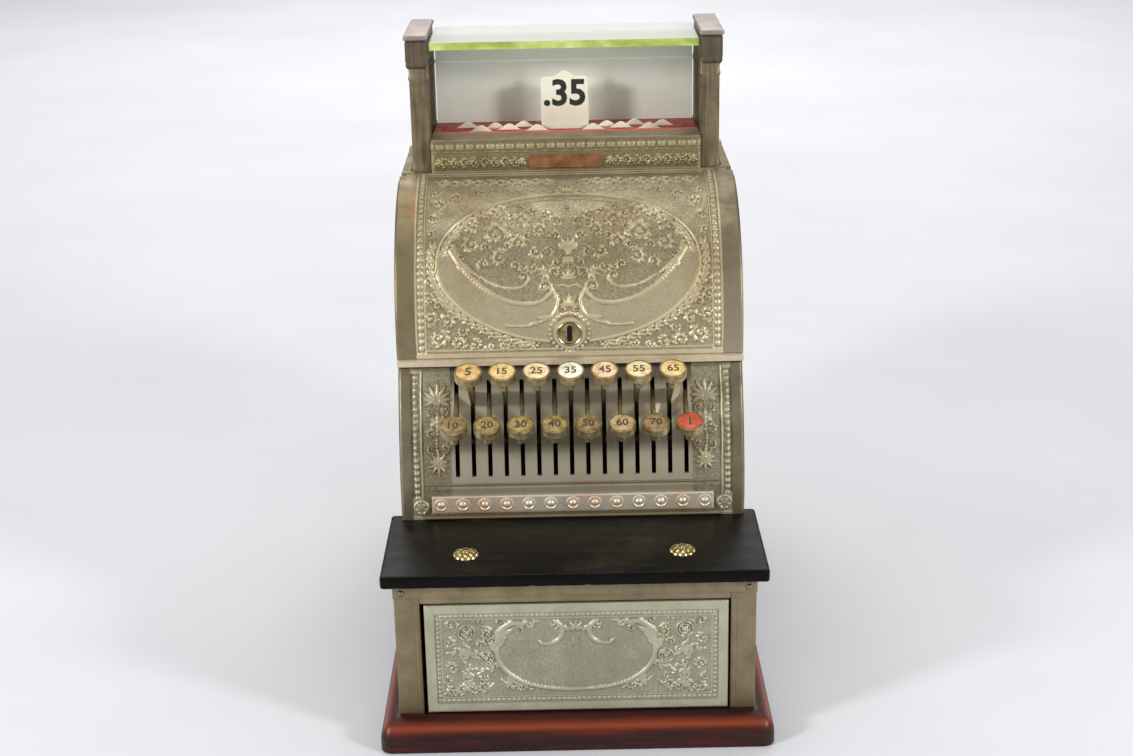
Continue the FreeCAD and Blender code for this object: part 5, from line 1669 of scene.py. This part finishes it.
# %% Back screen
SCREEN_THICKNESS = 1.0
FOLD_LEVEL = 406.4
screen_rows = [[81.9, 361.2], [81.9, 405.6], [82.3, 406.2], [84.6, 406.6], [84.9, 407.4], [84.9, 424.8]]
screen_rows = np.array(screen_rows)
screen_rows = np.vstack([screen_rows, screen_rows[::-1] + np.array([SCREEN_THICKNESS, 0.0])])
screen_x = np.linspace(-93.9, 93.9, 12)
screen_grid = np.zeros((len(screen_x), len(screen_rows), 3))
screen_grid[..., 0] = screen_x[:, None]
screen_grid[..., 1:] = screen_rows[None]
screen_shape = tube(screen_grid[::-1])
folded = (screen_shape[0][:, 2] > FOLD_LEVEL).astype(float)
piece("screen", screen_shape, screen_paint, "root", ("back_screen",), relief=folded)
print("screen points", len(screen_shape[0]))

# %% [markdown]
# The indicator box stands on two cast side frames. Each has a post at its front and back, a thin panel
# between them, a heavy cap with a moulded neck and a foot that spreads onto the cabinet.
# Profiles carried round a rectangle make all of these.

# %% Indicator box frames
POST_X = 101.75
CAP_X = 103
CAP_Y = 55
post_foot = [(-3.2, 337.2), (-3.2, 339.5), (-2.0, 340.5), (-0.9, 343), (-0.2, 347), (0, 351)]
post_neck = [(0, 404), (-0.6, 405), (-0.6, 406.5), (0, 407.5), (0, 415)]
post = stack(6.75, 6.0, 1.2, post_foot + post_neck, corner_steps=5)
side_frame = joined(
    [
        moved(post, POST_X, 24),
        moved(post, POST_X, 86),
        slab_block((104.8, 108.2), (22, 88), (337.5, 416), 0.6, 0.4),
        slab_block((95.2, 116.5), (12.2, 94.8), (337, 340.4), 1.0, 0.8),
    ]
)
block_rows = [(3.2, 412), (2.0, 413), (1.0, 415), (1.4, 416.5), (1.0, 418), (1.0, 431.0)]
block_rows += [(1.8, 432.0), (1.2, 432.8)]
plate_rows = [(1.0, 432.4), (0.2, 432.9), (0, 433.4), (0, 434.9), (0.6, 435.7), (1.8, 436)]
cap_block, cap_plate = [
    moved(stack(8.4, 39.6, 1.5, rows, corner_steps=5), CAP_X, CAP_Y) for rows in (block_rows, plate_rows)
]
for side_name, other_side in (("right", False), ("left", True)):
    for part_name, shape, metal, stands_for in (
        ("frame", side_frame, nickel["sign"], (f"sign_{side_name}_frame",)),
        ("cap", cap_block, nickel["cap"], ()),
        ("cap_plate", cap_plate, nickel["cap_top"], ()),
    ):
        placed = mirrored(shape) if other_side else shape
        piece(f"sign_{part_name}_{side_name}", placed, metal, "root", stands_for)
print("points of a side frame", len(side_frame[0]))

# %% [markdown]
# The front sill has a smooth top, a row of dentils under it and scrollwork with a blank copper label
# in the middle. The rear sill repeats it for the customer, without the label. Dentils could be small
# blocks, but a fourth power of the distance gives the same rounded teeth in the one sheet.

# %% Indicator sills
DENTIL_PITCH = 7.1
SCROLL_STEP = 7.1
LABEL_LEVEL = 347.0
sill_bends = [(28 + SCROLL_STEP * number, 346.8 + (2.4 if number % 2 else -2.4)) for number in range(10)]
sill_motifs = scrolled_stem(sill_bends, 5.0, 1.2)
for blossom_u in (31, 90):
    sill_motifs += blossom(blossom_u, LABEL_LEVEL, 2.8, 6, 1.3)


def sill_relief(u, v):
    """Dentils, fillets above and below the scrolls, and a plain foot."""
    side = np.abs(u)
    tooth = (((u % DENTIL_PITCH) - DENTIL_PITCH / 2) / 2.7) ** 4 + ((v - 357.7) / 2.2) ** 4
    height = highest(
        np.full_like(u, GROUND),
        1.2 * np.sqrt(np.maximum(1 - tooth, 0)),
        ridge(v - 354.2, 0.6, 0.8),
        ridge(v - 340.2, 0.7, 0.8),
    )
    return highest(
        np.where(v < 339.6, 0.9, height),
        ridge(side - 93.6, 0.8, 0.7),
        GROUND + carved(side, v, sill_motifs) * (v < 353.6) * (v > 340.8),
    )


sill_u = np.linspace(-95, 95, 460)
sill_v = np.linspace(337, 361, 78)
for side_name, face, sink, stands_for in (
    ("front", flat_face(12.4), 12.5, ("sign_sills",)),
    ("rear", flat_face(94.6, 1), 8.5, ()),
):
    sill_faces = cast_panel(
        f"sill_{side_name}", face, sill_u, sill_v, sill_relief, sink,
        nickel["sill"], "root", stands_for,
    )
label_rows = [(0.3, 0.0), (0, 0.3), (0, 1.2), (0.25, 1.5), (0.9, 1.5), (1.2, 1.2), (2.0, 1.2)]
label = moved(swung(stack(26, 4.75, 3.0, label_rows), 90), 0, 12.5, LABEL_LEVEL)
sill_top = slab_block((-94.9, 94.9), (12.3, 36.0), (360.4, 363.2), 0.8, 0.6)
piece("blank_label", label, copper, "root", ())
piece("sill_top", sill_top, nickel["case"], "root", ())
print("sills", sill_faces * 2, "faces")

# %% [markdown]
# The panes are plate glass. Seen through its cut edge, the thick top pane is yellow green.
# A strip laid on the edge would show a seam, so each pane is one mesh with two finishes, one for the
# faces and one for the cut edges.

# %% Panes


def pane(name, x, y, z, edge_axis, clear=glass):
    """A pane with a fine bevel. The cut edge that looks to the front, or up, shows the edge colour."""
    made = piece(name, slab_block(x, y, z, 0.3, 0.25), clear, "root", (), sharp=20)
    made.data.materials.append(glass_edge)
    normals = np.zeros(len(made.data.polygons) * 3)
    made.data.polygons.foreach_get("normal", normals)
    facing = normals.reshape(-1, 3)[:, edge_axis] * (-1 if edge_axis == 1 else 1)
    made.data.polygons.foreach_set("material_index", (facing > 0.4).astype(np.int32))
    return made


top_pane = pane("pane_top", (-93.7, 93.7), (18.2, 91.8), (425.1, 430.5), 1, top_glass)
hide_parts("sign_glass")
pane("pane_front", (-95, 95), (20.75, 23.25), (363, 425), 2)
pane("pane_rear", (-95, 95), (86.75, 89.25), (361, 425), 2)
print("panes", 3)

# %% [markdown]
# The floor is one large plain sheet, paler than the object, that only takes its shadow. A plane from
# Blender's own tools would do as well.

# %% Floor
FLOOR_STEPS = 8
floor_paper = mottled(
    "floor_paper", (236, 236, 240), 400, [(0.3, (209, 210, 215)), (0.7, (217, 218, 223))], Roughness=0.9
)
floor_x = np.linspace(-4000, 4000, FLOOR_STEPS + 1)
floor_y = np.linspace(-3000, 7000, FLOOR_STEPS + 1)
floor_x, floor_y = np.meshgrid(floor_x, floor_y)
floor_points = np.stack([floor_x, floor_y, np.zeros_like(floor_x)], axis=-1).reshape(-1, 3)
row, column = np.mgrid[0:FLOOR_STEPS, 0:FLOOR_STEPS]
here = row * (FLOOR_STEPS + 1) + column
beyond = here + FLOOR_STEPS + 1
floor_faces = quads(here, here + 1, beyond + 1, beyond)
floor_mesh = bpy.data.meshes.new("floor")
floor_mesh.from_pydata((floor_points * MM).tolist(), [], floor_faces)
floor_mesh.materials.append(floor_paper)
floor = bpy.data.objects.new("floor", floor_mesh)
bpy.context.scene.collection.objects.link(floor)
print("floor", len(floor_faces), "faces")

# %% View transform
bpy.context.scene.view_settings.view_transform = "Standard"
